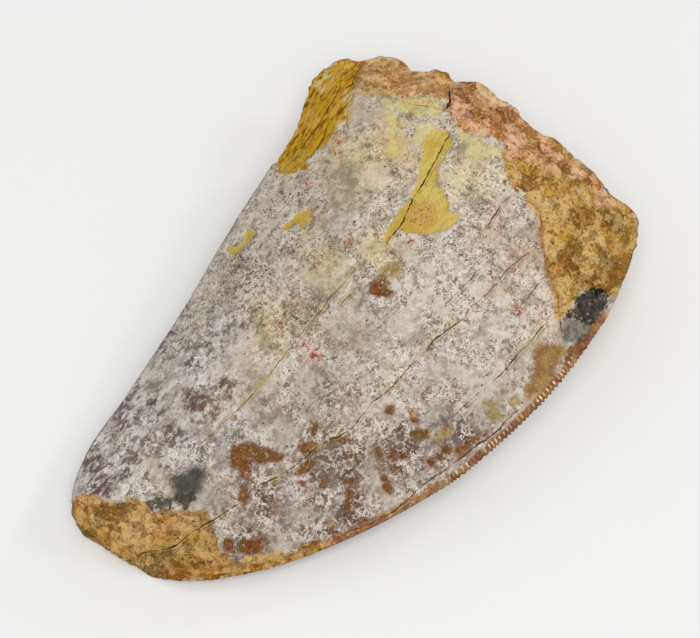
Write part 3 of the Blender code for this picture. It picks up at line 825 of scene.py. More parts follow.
def relief(pattern, space, upper_side, marks):
    """How far each point stands out from the plain form, along its normal."""
    broken = broken_share(pattern, upper_side)
    ragged = bumps(space, RAGGED_BUMPS)
    swell = bumps(space, ENAMEL_BUMPS)
    grains = bumps(space, GRAIN_BUMPS)
    if upper_side:
        strip = smooth_step((marks["strip"] + ragged) / 0.2 + 0.5)
        fibres = 0.1 * lumps(space * (0.1, 1, 1), 0.5, 11) + 0.07 * lumps(space * (0.2, 1, 1), 0.26, 12)
        swell += strip * (fibres - BARE_DEPTH)
        corner = smooth_step((marks["corner"] + ragged) / 0.2 + 0.5)
        swell += corner * (bumps(space, CORNER_BUMPS) + 0.6 * grains - BARE_DEPTH)
        flake = smooth_step((marks["yellow"] + 0.5 * ragged) / 0.16 + 0.5)
        swell -= flake * FLAKE_DEPTH
        pale = smooth_step((marks["pale"] + 0.5 * ragged) / 0.16 + 0.5)
        swell -= pale * PALE_FLAKE_DEPTH
        pits = smooth_step((marks["amber"] + ragged) / 0.3 + 0.3)
        swell -= pits * AMBER_DEPTH
    calm = CALM_EDGE_RELIEF + (1 - CALM_EDGE_RELIEF) * smooth_step(marks["edge_near"] / CALM_EDGE)
    rough = bumps(space, BREAK_BUMPS) + grains
    return (swell * (1 - broken) + rough * broken) * calm - marks["crack_depth"]


def near_crack(grid):
    """Whether each point is beside a crack, tried first on every few points of the grid."""
    rough = honeycomb(grid.min(axis=0), grid.max(axis=0), TOP_SPACING)
    rough = rough[np.abs(cracks_at(seen_at(rough))[0]) < CRACK_ZONE + TOP_SPACING]
    likely = distance_to(rough, grid)[0] < TOP_SPACING
    likely[likely] = np.abs(cracks_at(seen_at(grid[likely]))[0]) < CRACK_ZONE
    return likely


def near_serration(grid):
    """Whether each point is beside the part of the front edge that has denticles."""
    near, _ = distance_to(SERRATED_LINE, grid)
    return (near < SERRATED_ZONE) & (denticle_wear(grid[:, 0]) > 0.05)


def everywhere(grid):
    return np.ones(len(grid), bool)


def near_sheet_edge(edge):
    return lambda grid: inside_edge(edge, grid) < UNDER_EDGE_ZONE


def lay_out():
    """Pattern points and triangles of both sheets, which share the outline's points."""
    edge = edge_points()
    upper_levels = [
        (FINE_SPACING, near_crack),
        (SERRATED_SPACING, near_serration),
        (TOP_SPACING, everywhere),
    ]
    under_levels = [
        (SERRATED_SPACING, near_serration),
        (UNDER_EDGE_SPACING, near_sheet_edge(edge)),
        (UNDER_SPACING, everywhere),
    ]
    upper = sheet_points(edge, upper_levels)
    under = sheet_points(edge, under_levels)
    count = len(edge)
    upper_faces = triangles(upper, count)
    under_faces = triangles(under, count)[:, ::-1]
    under_faces = np.where(under_faces < count, under_faces, under_faces + len(upper) - count)
    return upper, under[count:], count, upper_faces, under_faces


def tooth_points(upper, inner, count, faces):
    """Points in space with all their relief, and the attributes of the markings."""
    space = np.vstack([place(upper, True), place(inner, False)])
    normals = vertex_normals(space, faces)
    upper_marks = markings(upper, True)
    inner_marks = markings(inner, False)
    stand = np.append(
        relief(upper, space[: len(upper)], True, upper_marks),
        relief(inner, space[len(upper) :], False, inner_marks),
    )
    rests = space[:, 2] < REST_BAND
    off_floor = smooth_step(space[:, 2] / 0.5)
    moved = space + normals * (stand * off_floor)[:, None]

    pattern = np.vstack([upper, inner])
    ridge, near, outward = denticles_at(pattern)
    fade = smooth_step(1 - near / DENTICLE_REACH)
    lift = DENTICLE_HEIGHT * ridge * fade * denticle_wear(pattern[:, 0])
    bead = np.exp(-(((near - BEAD_INSET) / BEAD_WIDTH) ** 2))
    at_edge = np.arange(len(space)) < count
    moved[at_edge, :2] += outward[at_edge] * lift[at_edge, None]
    moved[~at_edge] += normals[~at_edge] * (0.6 * lift * bead)[~at_edge, None]
    moved[:, 2] = np.where(rests, 0, np.maximum(moved[:, 2], 0))
    marks = {name: np.append(values, inner_marks[name]) for name, values in upper_marks.items()}
    return moved, marks


def add_chart(mesh, upper, inner, upper_face_count, faces):
    """Flat chart of the pattern, the two sheets one above the other, for baked textures."""
    pattern = np.vstack([upper, inner])
    low = pattern.min(axis=0)
    size = pattern.max(axis=0) - low
    scale = 1 / (max(size[0], 2 * size[1] + CHART_MARGIN) + 2 * CHART_MARGIN)
    on_under = np.repeat(np.arange(len(faces)) >= upper_face_count, 3)
    places = (pattern[faces.ravel()] - low + CHART_MARGIN) * scale
    places[on_under, 1] += (size[1] + CHART_MARGIN) * scale
    chart = mesh.uv_layers.new(name="OFBake")
    chart.data.foreach_set("uv", places.astype(np.float32).ravel())


def make_tooth():
    """The crown on its body. Returns how far it was moved to stand over the solid."""
    upper, inner, count, upper_faces, under_faces = lay_out()
    faces = np.vstack([upper_faces, under_faces])
    points, marks = tooth_points(upper, inner, count, faces)
    middle = (points.min(axis=0) + points.max(axis=0)) / 2
    low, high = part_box("tooth")
    cad_middle = np.array((low + high) / 2) / METRES_PER_MM
    shift = np.array([cad_middle[0] - middle[0], cad_middle[1] - middle[1], 0])

    mesh = bpy.data.meshes.new("fossil_crown")
    mesh.from_pydata(((points + shift) * METRES_PER_MM).tolist(), [], faces.tolist())
    for name, values in marks.items():
        layer = mesh.attributes.new(name, "FLOAT", "POINT")
        layer.data.foreach_set("value", values.astype(np.float32))
    add_chart(mesh, upper, inner, len(upper_faces), faces)
    mesh.shade_smooth()
    mesh.materials.append(crown_material())
    crown = bpy.data.objects.new("fossil_crown", mesh)
    bpy.context.scene.collection.objects.link(crown)
    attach(crown, "root")
    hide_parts("tooth")
    return shift


# --- Material ---------------------------------------------------------------------------------


class Graph:
    """Wires the nodes of one material."""

    def __init__(self, material):
        material.use_nodes = True
        self.nodes = material.node_tree.nodes
        self.links = material.node_tree.links
        self.shader = self.nodes["Principled BSDF"]

    def put(self, socket, value):
        """Link a socket's value, or set it. A tuple is a display colour."""
        if isinstance(value, bpy.types.NodeSocket):
            self.links.new(value, socket)
        elif isinstance(value, tuple):
            socket.default_value = linear(value)
        else:
            socket.default_value = value

    def math(self, operation, *values):
        node = self.nodes.new("ShaderNodeMath")
        node.operation = operation
        for socket, value in zip(node.inputs, values):
            self.put(socket, value)
        return node.outputs[0]

    def add(self, a, b):
        return self.math("ADD", a, b)

    def times(self, a, b):
        return self.math("MULTIPLY", a, b)

    def most(self, a, b):
        return self.math("MAXIMUM", a, b)

    def without(self, a, b):
        """a where b is 0, falling to 0 where b is 1."""
        return self.times(a, self.math("SUBTRACT", 1.0, b))

    def band(self, value, low, high):
        """0 up to low, 1 from high on, and smooth between."""
        node = self.nodes.new("ShaderNodeMapRange")
        node.interpolation_type = "SMOOTHSTEP"
        self.put(node.inputs["Value"], value)
        node.inputs["From Min"].default_value = low
        node.inputs["From Max"].default_value = high
        return node.outputs["Result"]

    def mix(self, share, a, b):
        """A colour that goes from a to b."""
        node = self.nodes.new("ShaderNodeMix")
        node.data_type = "RGBA"
        self.put(node.inputs[0], share)
        self.put(node.inputs[6], a)
        self.put(node.inputs[7], b)
        return node.outputs[2]

    def paint(self, tone, *coats):
        """Coats of colour laid over a tone in turn, each as a pair of strength and colour."""
        for strength, shade in coats:
            tone = self.mix(strength, tone, shade)
        return tone

    def blend(self, share, a, b):
        """A number that goes from a to b."""
        node = self.nodes.new("ShaderNodeMix")
        self.put(node.inputs[0], share)
        self.put(node.inputs[2], a)
        self.put(node.inputs[3], b)
        return node.outputs[0]

    def attribute(self, name, strength=1.0):
        """A number that the mesh carries at each point, times a strength."""
        node = self.nodes.new("ShaderNodeAttribute")
        node.attribute_name = name
        return self.times(node.outputs["Fac"], strength)

    def millimetres(self, shift=0):
        """Place on the object in millimetres, moved away from those with another shift."""
        place_node = self.nodes.new("ShaderNodeTexCoord")
        mapping = self.nodes.new("ShaderNodeMapping")
        self.links.new(place_node.outputs["Object"], mapping.inputs["Vector"])
        mapping.inputs["Scale"].default_value = [1 / METRES_PER_MM] * 3
        mapping.inputs["Location"].default_value = [part * shift for part in PATTERN_SHIFT]
        return mapping.outputs["Vector"]

    def noise(self, place, size, detail=2.0, roughness=0.55):
        """Cloudy pattern with features about size millimetres wide, from about 0.2 to 0.8."""
        node = self.nodes.new("ShaderNodeTexNoise")
        self.put(node.inputs["Vector"], place)
        node.inputs["Scale"].default_value = 1 / size
        node.inputs["Detail"].default_value = detail
        node.inputs["Roughness"].default_value = roughness
        return node.outputs["Fac"]

    def cloud(self, shift, size, detail=2.0, roughness=0.55, stretch=(1, 1, 1)):
        """A cloudy pattern of its own, moved away from the others of its size."""
        place_node = self.nodes.new("ShaderNodeTexCoord")
        pattern = self.noise(place_node.outputs["Object"], size, detail, roughness)
        mapping = pattern.node.texture_mapping
        mapping.scale = [part / METRES_PER_MM for part in stretch]
        mapping.translation = [part * shift for part in PATTERN_SHIFT]
        return pattern

    def patches(self, shift, size, low, high, detail=4.0, stretch=(1, 1, 1), roughness=0.62):
        """0 to 1 in ragged patches about size millimetres wide."""
        return self.band(self.cloud(shift, size, detail, roughness, stretch), low, high)

    def warp(self, place, amount, size):
        """A place moved about by up to half an amount, by clouds of a size."""
        clouds = self.noise(place, size, detail=1, roughness=0.5).node.outputs["Color"]
        push = self.nodes.new("ShaderNodeVectorMath")
        push.operation = "MULTIPLY_ADD"
        self.links.new(clouds, push.inputs[0])
        push.inputs[1].default_value = [amount] * 3
        self.put(push.inputs[2], place)
        return push.outputs[0]

    def cells(self, place, size):
        """Cells about size millimetres wide: distance from their middle, and a number of each."""
        node = self.nodes.new("ShaderNodeTexVoronoi")
        self.put(node.inputs["Vector"], place)
        node.inputs["Scale"].default_value = 1 / size
        split = self.nodes.new("ShaderNodeSeparateColor")
        self.links.new(node.outputs["Color"], split.inputs[0])
        return node.outputs["Distance"], split.outputs[0]

    def dots(self, shift, size, radius, share):
        """1 on dots of a radius, as a share of the size of a cell; only a share of cells has one."""
        place = self.warp(self.millimetres(shift), 0.35 * size, 0.4 * size)
        distance, number = self.cells(place, size)
        chosen = self.band(number, 1 - share, 1 - share + 0.01)
        return self.times(self.band(distance, radius, radius * 0.5), chosen)

    def facets(self, shift, size):
        """A random number from 0 to 1 for each of many ragged cells about size millimetres wide."""
        place = self.warp(self.millimetres(shift), 0.6 * size, 0.7 * size)
        _, number = self.cells(self.warp(place, 0.3 * size, 0.2 * size), size)
        return number

    def off_middle(self, cloud, middle=0.5):
        """How far a cloudy pattern is from its middle value; where it is 0, lines wind."""
        return self.math("ABSOLUTE", self.math("SUBTRACT", cloud, middle))

    def inside(self, name, ragged, soft=0.05):
        """1 inside a marking whose outline is broken up by a ragged number of millimetres."""
        depth = self.add(self.attribute(name), ragged)
        return self.band(depth, -soft, soft)


def crown_material():
    """The crown's whole surface: enamel, flakes, bare zones, serrated edge and cracks in turn."""
    material = bpy.data.materials.new("fossil_enamel_mottled")
    graph = Graph(material)
    here = graph.millimetres()
    clouds = {
        "here": here,
        "wide": graph.noise(here, 3.2, 2),
        "middle": graph.noise(here, 1.1, 3),
        "small": graph.noise(here, 0.42, 3),
        "grain": graph.noise(here, 0.16, 2),
        "ragged": graph.times(graph.math("SUBTRACT", graph.noise(here, 0.9, 5, 0.68), 0.5), 1.6),
    }
    # painted light and shade on the two sides of small ridges, lighter on one side and darker on the
    # other
    facing = painted_ridge_shading(graph)
    clouds["lit_side"] = graph.band(facing, 0.05, 0.09)
    clouds["far_side"] = graph.band(facing, -0.05, -0.09)
    crystals = crystals_of(graph)
    surface = enamel(graph, clouds)
    surface = flakes(graph, surface, clouds, crystals)
    surface = bare_zones(graph, surface, clouds, crystals)
    surface = serrated_edge(graph, surface, clouds)
    surface = crack_lines(graph, surface, clouds)
    tone, roughness, height, bare = surface

    graph.put(graph.shader.inputs["Base Color"], tone)
    graph.put(graph.shader.inputs["Roughness"], roughness)
    graph.shader.inputs["IOR"].default_value = 1.5
    graph.put(graph.shader.inputs["Specular IOR Level"], graph.blend(bare, 0.3, 0.08))
    bump = graph.nodes.new("ShaderNodeBump")
    bump.inputs["Strength"].default_value = 0.8
    bump.inputs["Distance"].default_value = 0.12 * METRES_PER_MM
    graph.put(bump.inputs["Height"], height)
    graph.put(graph.shader.inputs["Normal"], bump.outputs["Normal"])
    return material


def painted_ridge_shading(graph):
    """Painted light and shade: above 0 on one side of small ridges, below 0 on the other. A cloud less
    the same one moved.
    """
    stretch = (0.7, 1, 1)
    ridges = graph.cloud(70, 1.1, 3, 0.5, stretch)
    return graph.math("SUBTRACT", ridges, graph.cloud(70.03, 1.1, 3, 0.5, stretch))


def glass_tones(graph, clouds):
    """Smooth glassy enamel under the crust: grey and beige, warmer, pinker or darker in places."""
    deep = graph.mix(graph.patches(4, 0.9, 0.42, 0.6), (68, 46, 30), (106, 90, 76))
    return graph.paint(
        graph.mix(graph.band(clouds["wide"], 0.4, 0.6), (178, 172, 156), (184, 168, 138)),
        (graph.times(graph.patches(3, 1.6, 0.46, 0.64), 0.6), (150, 136, 110)),
        (graph.times(graph.patches(55, 1.1, 0.5, 0.64), 0.6), (204, 196, 178)),
        (graph.attribute("warm_tone", 0.7), (204, 174, 110)),
        (graph.attribute("pink_tone", 0.6), (188, 150, 122)),
        (graph.attribute("lilac_tone", 0.6), (156, 144, 138)),
        (graph.attribute("slate_tone", 0.75), (160, 157, 153)),
        (graph.attribute("deep_tone", 0.9), deep),
        (graph.attribute("glass_tone", 0.5), (170, 160, 142)),
    )


def crust_layer(graph, glass, clouds, crisp):
    """Broken pale crust over the glass: soft mottling, winding threads and dark blobs."""
    deep, crusted = graph.attribute("deep_tone"), graph.attribute("crust_tone")
    slate, warm = graph.attribute("slate_tone"), graph.attribute("warm_tone")
    pale = graph.paint(
        graph.mix(clouds["middle"], (228, 220, 210), (212, 202, 187)),
        (graph.times(warm, 0.8), (230, 211, 166)),
        (graph.attribute("pink_tone", 0.6), (220, 194, 170)),
        (graph.attribute("lilac_tone", 0.7), (210, 200, 196)),
        (graph.times(slate, 0.8), (220, 215, 214)),
        (graph.times(deep, 0.8), (202, 186, 178)),
    )
    dark = graph.paint(
        graph.mix(clouds["middle"], (128, 113, 86), (98, 80, 55)),
        (graph.times(slate, 0.9), (78, 68, 67)),
        (graph.attribute("deep_tone"), (66, 44, 28)),
    )
    mottled = graph.noise(graph.warp(clouds["here"], 0.3, 0.4), 1.1, 4, 0.64)
    bent = graph.warp(graph.millimetres(1), 0.4, 0.4)
    winding = graph.blend(deep, graph.noise(bent, 0.55, 2, 0.55), graph.noise(bent, 0.9, 2, 0.5))
    blobs = graph.band(graph.add(winding, graph.times(deep, 0.03)), 0.545, 0.6)
    threads = graph.band(graph.off_middle(winding, 0.48), 0.055, 0.015)
    lines = graph.noise(graph.warp(graph.millimetres(2), 0.3, 0.3), 0.7, 2, 0.6)
    strokes = graph.band(graph.off_middle(lines), 0.035, 0.0)
    strokes = graph.times(strokes, graph.patches(54, 1.6, 0.44, 0.58))
    shaded = graph.patches(62, 4.0, 0.5, 0.58, 6, roughness=0.78)
    lit = graph.patches(63, 4.0, 0.5, 0.58, 6, roughness=0.78)

    strength = graph.add(graph.cloud(5, 2.1, 5, 0.64), graph.times(crusted, 0.14))
    strength = graph.add(strength, graph.attribute("glass_tone", -0.2))
    cover = graph.band(strength, 0.42, 0.6)
    haze = graph.mix(graph.add(graph.times(deep, 0.65), 0.3), pale, glass)
    ringed = graph.times(cover, graph.add(graph.times(deep, 0.45), graph.times(crisp, 0.6)))
    speckled = graph.times(graph.without(1.0, graph.times(deep, 0.6)), crisp)
    tone = graph.paint(
        glass,
        (graph.times(cover, 0.7), haze),
        (graph.times(graph.band(mottled, 0.5, 0.38), graph.times(speckled, 0.85)), dark),
        (graph.times(graph.band(mottled, 0.52, 0.64), graph.times(speckled, 0.9)), pale),
        (graph.times(graph.times(strokes, cover), 0.55), dark),
        (graph.times(shaded, 0.55), dark),
        (graph.times(lit, 0.4), pale),
        (graph.times(blobs, ringed), dark),
        (graph.times(threads, ringed), pale),
    )
    height = graph.add(graph.times(threads, 0.35), graph.times(blobs, -0.4))
    height = graph.times(height, graph.add(graph.times(deep, 0.3), 0.3))
    height = graph.add(height, graph.times(mottled, 0.8))
    return tone, cover, height, pale


def enamel(graph, clouds):
    """Glassy enamel under its crust, with fine specks, streaks, dots, coloured patches, and painted
    light and shade on the sides of small ridges.
    """
    ragged, small, grain = clouds["ragged"], clouds["small"], clouds["grain"]
    glassy = graph.patches(72, 2.6, 0.5, 0.57, 4, roughness=0.55)
    glassy = graph.add(glassy, graph.attribute("glass_tone", 0.9))
    crisp = graph.without(1.0, graph.times(graph.math("MINIMUM", glassy, 1.0), 0.8))
    tone, cover, height, pale = crust_layer(graph, glass_tones(graph, clouds), clouds, crisp)
    lit_side, far_side = clouds["lit_side"], clouds["far_side"]
    slate = graph.attribute("slate_tone")

    streaks = graph.times(graph.patches(6, 1.5, 0.54, 0.58, 6, (0.6, 1, 1), 0.7), slate)
    light_streaks = graph.times(graph.patches(7, 1.4, 0.53, 0.58, 6, (0.6, 1, 1), 0.7), slate)
    ridge_shade_strength = graph.times(graph.add(graph.times(slate, 0.6), 0.3), crisp)
    pits = graph.patches(64, 0.5, 0.53, 0.58, 3, roughness=0.7)
    pits = graph.times(pits, graph.attribute("pitted_tone"))
    busy = graph.times(graph.patches(8, 1.5, 0.36, 0.54), crisp)
    gold = graph.attribute("gold_tone", 0.75)
    dark_specks = graph.times(graph.patches(9, 0.16, 0.57, 0.66, 1.0), busy)
    pale_specks = graph.times(graph.patches(10, 0.18, 0.58, 0.68, 1.0), busy)
    tone = graph.paint(
        tone,
        (graph.times(gold, graph.patches(65, 1.2, 0.4, 0.54)), (206, 168, 84)),
        (graph.times(streaks, 0.9), (86, 68, 66)),
        (graph.times(light_streaks, 0.85), (220, 214, 208)),
        (graph.times(pits, 0.85), (86, 70, 54)),
        # painted shade on one side of small ridges and painted light on the other
        (graph.times(far_side, ridge_shade_strength), (98, 84, 76)),
        (graph.times(lit_side, ridge_shade_strength), pale),
        (graph.times(graph.band(small, 0.56, 0.64), graph.times(crisp, 0.45)), (100, 84, 62)),
        (graph.times(graph.band(small, 0.42, 0.34), graph.times(crisp, 0.5)), pale),
        (graph.times(dark_specks, 0.95), (88, 72, 52)),
        (pale_specks, pale),
        (graph.times(graph.dots(11, 0.75, 0.22, 0.2), 0.45), (190, 146, 104)),
        (graph.times(graph.dots(12, 0.7, 0.22, 0.2), 0.45), (176, 134, 118)),
    )

    amber_colour = graph.paint(
        graph.mix(graph.band(small, 0.38, 0.62), (92, 46, 0), (126, 72, 4)),
        (graph.times(graph.patches(13, 1.2, 0.44, 0.6), 0.8), (98, 66, 4)),
        (graph.times(graph.patches(14, 0.3, 0.64, 0.72, 1.0), 0.6), (176, 130, 76)),
    )
    amber = graph.inside("amber", graph.times(ragged, 1.1), 0.28)
    amber = graph.without(amber, graph.times(graph.patches(67, 0.5, 0.57, 0.64), 0.6))
    loose = graph.times(graph.patches(15, 1.3, 0.56, 0.62), graph.attribute("deep_tone", 0.85))
    olive = graph.inside("olive", graph.times(ragged, 1.1), 0.3)
    olive = graph.times(olive, graph.patches(73, 0.5, 0.34, 0.46))
    olive_colour = graph.mix(graph.band(small, 0.4, 0.6), (124, 100, 30), (160, 138, 72))
    stroked = graph.patches(16, 0.5, 0.43, 0.5, stretch=(0.6, 1, 1))
    purple = graph.times(graph.inside("purple", graph.times(ragged, 2.5), 0.35), stroked)
    brown = graph.inside("brown", graph.times(ragged, 3.5), 0.6)
    brown = graph.times(brown, graph.patches(56, 0.5, 0.44, 0.54))
    smoke = graph.band(graph.add(graph.attribute("smoke_tone"), graph.times(ragged, 0.12)), 0.1, 0.85)
    smoke_colour = graph.mix(graph.band(small, 0.5, 0.7), (38, 38, 34), (72, 70, 60))
    blotch = graph.inside("blotch", graph.times(ragged, 1.2), 0.15)
    blotch_colour = graph.paint(
        graph.mix(graph.patches(17, 0.5, 0.42, 0.6), (40, 32, 26), (74, 66, 44)),
        (graph.times(graph.patches(18, 0.5, 0.56, 0.62), 0.9), (176, 164, 136)),
    )
    speckled = graph.inside("speck", graph.times(ragged, 1.3), 0.25)
    specks = graph.times(speckled, graph.patches(66, 0.32, 0.48, 0.54, 2.0))
    speck_colour = graph.mix(graph.patches(69, 0.5, 0.44, 0.56, 1.0), (110, 36, 22), (164, 84, 40))
    dots = graph.most(graph.dots(21, 0.95, 0.16, 0.3), graph.dots(22, 0.5, 0.24, 0.14))
    cluster = graph.times(graph.inside("dots", ragged, 0.35), graph.patches(23, 0.24, 0.55, 0.62, 2.0))
    tone = graph.paint(
        tone,
        (graph.times(olive, 0.85), olive_colour),
        (graph.most(amber, loose), amber_colour),
        (graph.times(purple, 0.85), (86, 56, 56)),
        (graph.times(brown, 0.75), (108, 80, 44)),
        (graph.times(smoke, 0.92), smoke_colour),
        (graph.times(blotch, 0.94), blotch_colour),
        (graph.times(graph.most(dots, cluster), 0.9), (62, 50, 38)),
        (graph.times(speckled, 0.45), (196, 146, 112)),
        (graph.times(specks, 0.9), speck_colour),
    )
    roughness = graph.blend(cover, 0.35, 0.55)
    return tone, roughness, graph.add(height, graph.times(grain, 0.5))


def flakes(graph, surface, clouds, crystals):
    """Places where the enamel has flaked off and yellow dentine shows."""
    tone, roughness, height = surface
    ragged = clouds["ragged"]
    pale = graph.inside("pale", graph.times(ragged, 1.8), 0.35)
    pale = graph.times(pale, graph.patches(24, 0.8, 0.32, 0.5))
    pale_colour = graph.mix(graph.patches(25, 0.9, 0.54, 0.62), (208, 198, 130), (204, 174, 70))
    yellow = graph.inside("yellow", graph.times(ragged, 0.5), 0.05)
    fibres = graph.patches(68, 0.45, 0.5, 0.62, stretch=(0.2, 1, 1))
    orange = graph.inside("orange", ragged, 0.4)
    yellow_colour = graph.paint(
        graph.mix(graph.patches(57, 2.4, 0.4, 0.6), (202, 182, 92), (192, 162, 66)),
        (graph.attribute("golden_tone", 0.8), (188, 146, 44)),
        (graph.times(graph.band(crystals["coarse"], 0.3, 0.0), 0.4), (178, 150, 56)),
        (graph.times(crystals["light"], 0.8), (210, 192, 116)),
        (graph.times(fibres, 0.4), (166, 134, 48)),
        (graph.times(orange, graph.patches(28, 0.35, 0.44, 0.56)), (196, 150, 92)),
        (graph.times(orange, graph.patches(29, 0.2, 0.58, 0.64, 1.0)), (126, 84, 40)),
        (graph.times(graph.patches(30, 0.2, 0.6, 0.68, 1.0), 0.5), (150, 112, 38)),
    )
    tone = graph.paint(tone, (graph.times(pale, 0.65), pale_colour), (yellow, yellow_colour))
    roughness = graph.blend(yellow, roughness, 0.5)
    flaked = graph.band(graph.attribute("yellow"), -0.05, 0.05)
    height = graph.blend(flaked, height, graph.times(clouds["grain"], 0.9))
    return tone, roughness, height


def crystals_of(graph):
    """How strongly the crystals of the bare places are darker, and how strongly they are lighter."""
    coarse, fine = graph.facets(26, 1.9), graph.facets(27, 0.65)
    seams = graph.cloud(35, 0.8, 2, 0.5)
    dark = graph.most(
        graph.times(graph.band(coarse, 0.36, 0.14), 0.65),
        graph.times(graph.band(graph.off_middle(seams), 0.024, 0.006), 0.85),
    )
    return {
        "coarse": coarse,
        "dark": dark,
        "light": graph.times(graph.band(coarse, 0.62, 0.84), 0.6),
        "fine_dark": graph.times(graph.band(fine, 0.3, 0.1), 0.55),
        "fine_light": graph.times(graph.band(fine, 0.7, 0.9), 0.5),
        "dark_specks": graph.times(graph.patches(36, 0.26, 0.6, 0.68, 1.0), 0.6),
        "light_specks": graph.times(graph.patches(37, 0.26, 0.6, 0.68, 1.0), 0.5),
        "orange": graph.times(graph.patches(38, 2.2, 0.52, 0.56, 4, roughness=0.55), 0.7),
        "moss": graph.times(graph.patches(39, 2.4, 0.53, 0.57, 4, roughness=0.55), 0.65),
        "cream": graph.times(graph.patches(40, 1.9, 0.53, 0.57, 4, roughness=0.55), 0.7),
    }


def grainy(graph, tone, crystals, clouds, dark, light):
    """A tone broken up by crystals: coloured patches, ragged facets, dark seams, fine specks, and
    painted light and shade on the sides of small ridges.
    """
    return graph.paint(
        tone,
        (crystals["orange"], (170, 104, 40)),
        (crystals["moss"], (152, 120, 34)),
        (crystals["cream"], light),
        (crystals["dark"], dark),
        (crystals["light"], light),
        (crystals["fine_dark"], dark),
        (crystals["fine_light"], light),
        # painted shade on one side of small ridges and painted light on the other
        (graph.times(clouds["far_side"], 0.3), dark),
        (graph.times(clouds["lit_side"], 0.25), light),
        (crystals["dark_specks"], dark),
        (crystals["light_specks"], light),
    )


def with_hues(graph, tone, clouds):
    """A bare place's tone with the rose, yellow, cream, rust and brown places laid over it."""
    hues = {
        "rose_hue": (204, 151, 114),
        "yellow_hue": (186, 156, 58),
        "cream_hue": (211, 186, 128),
        "rust_hue": (182, 118, 58),
        "brown_hue": (96, 62, 30),
    }
    for name, shade in hues.items():
        share = graph.add(graph.attribute(name), graph.times(clouds["ragged"], 1.7))
        share = graph.band(share, 0.25, 0.8)
        tone = graph.mix(graph.times(share, 0.8), tone, shade)
    return tone


def strip_tone(graph, clouds):
    """Saturated ochre with brown fibres along the crown."""
    fibres = graph.cloud(31, 0.5, 3, 0.62, stretch=(0.2, 1, 1))
    lines = graph.band(graph.cloud(32, 0.24, 2, stretch=(0.1, 1, 1)), 0.56, 0.64)
    tone = graph.paint(
        (188, 144, 26),
        (graph.band(fibres, 0.5, 0.38), (122, 74, 0)),
        (graph.times(graph.patches(33, 1.8, 0.5, 0.6, stretch=(0.4, 1, 1)), 0.7), (204, 164, 74)),
        (graph.times(graph.patches(58, 0.4, 0.58, 0.66, stretch=(0.4, 1, 1)), 0.5), (206, 162, 50)),
    )
    tone = graph.paint(with_hues(graph, tone, clouds), (graph.times(lines, 0.55), (96, 54, 0)))
    return tone, fibres


def bare_zones(graph, surface, clouds, crystals):
    """Ochre strip, base band, corner, tip and end face, where the enamel is gone."""
    tone, roughness, height = surface
    ragged, grain = clouds["ragged"], clouds["grain"]
    pits = graph.dots(34, 0.8, 0.26, 0.4)
    jagged = graph.add(ragged, graph.add(crystals["coarse"], -0.5))
    zones = [
        ("corner", 1.4, (182, 138, 54), (98, 62, 18), (206, 174, 112)),
        ("tan", 0.9, (202, 156, 88), (130, 82, 34), (222, 188, 134)),
        ("red", 1.1, (196, 140, 78), (112, 64, 36), (228, 186, 146)),
        ("tip", 0.4, (178, 132, 52), (92, 58, 18), (208, 172, 112)),
        ("end", 1.2, (176, 132, 70), (116, 74, 30), (222, 188, 144)),
    ]
    shares = {}
    shades = zones[0][2:]
    bare = plainly_bare = 0.0
    for name, torn, *zone_shades in zones:
        share = graph.inside(name, graph.times(jagged, torn), 0.12)
        if shares:
            shades = [graph.mix(share, old, new) for old, new in zip(shades, zone_shades)]
        shares[name] = share
        bare = graph.most(bare, share)
        plainly_bare = graph.most(plainly_bare, graph.band(graph.attribute(name), -0.12, 0.12))
    plain, dark, light = shades
    stone = grainy(graph, with_hues(graph, plain, clouds), crystals, clouds, dark, light)
    tone = graph.mix(bare, tone, stone)

    strip_colour, fibres = strip_tone(graph, clouds)
    strip = graph.inside("strip", graph.times(jagged, 0.6), 0.12)
    strip = graph.without(graph.without(strip, shares["end"]), shares["tip"])
    tone = graph.mix(strip, tone, strip_colour)
    bare = graph.most(bare, strip)
    tone = graph.mix(graph.times(graph.times(bare, pits), 0.7), tone, (84, 54, 22))

    side = graph.inside("amber_side", graph.times(ragged, 0.9), 0.4)
    slate = graph.inside("slate", graph.times(ragged, 1.2), 0.35)
    black = graph.inside("black", graph.times(ragged, 1.3), 0.12)
    side_colour = graph.paint(
        graph.mix(graph.patches(45, 1.6, 0.42, 0.6), (126, 80, 10), (146, 110, 34)),
        (graph.times(graph.patches(59, 0.3, 0.6, 0.68, 1.0), 0.6), (198, 160, 84)),
    )
    slate_colour = graph.mix(graph.patches(46, 0.5, 0.42, 0.58), (66, 64, 60), (118, 112, 100))
    black_colour = graph.paint(
        graph.mix(graph.patches(47, 0.9, 0.46, 0.56), (22, 18, 15), (62, 56, 48)),
        (graph.times(graph.patches(71, 0.4, 0.58, 0.64), 0.8), (146, 136, 120)),
    )
    tone = graph.paint(
        tone,
        (graph.times(side, 0.9), side_colour),
        (graph.times(slate, 0.88), slate_colour),
        (graph.times(black, 0.97), black_colour),
    )
    roughness = graph.blend(bare, roughness, 0.6)
    lumpy = graph.times(graph.cloud(48, 0.5, 3), 1.4)
    rough = graph.add(graph.add(lumpy, graph.times(grain, 1.1)), graph.times(crystals["coarse"], 0.8))
    plain_strip = graph.band(graph.attribute("strip"), -0.12, 0.12)
    height = graph.blend(graph.most(plainly_bare, plain_strip), height, rough)
    strip_only = graph.band(graph.attribute("strip"), -0.05, 0.05)
    height = graph.blend(strip_only, height, graph.times(fibres, 1.8))
    return tone, roughness, height, bare, shares["tip"]


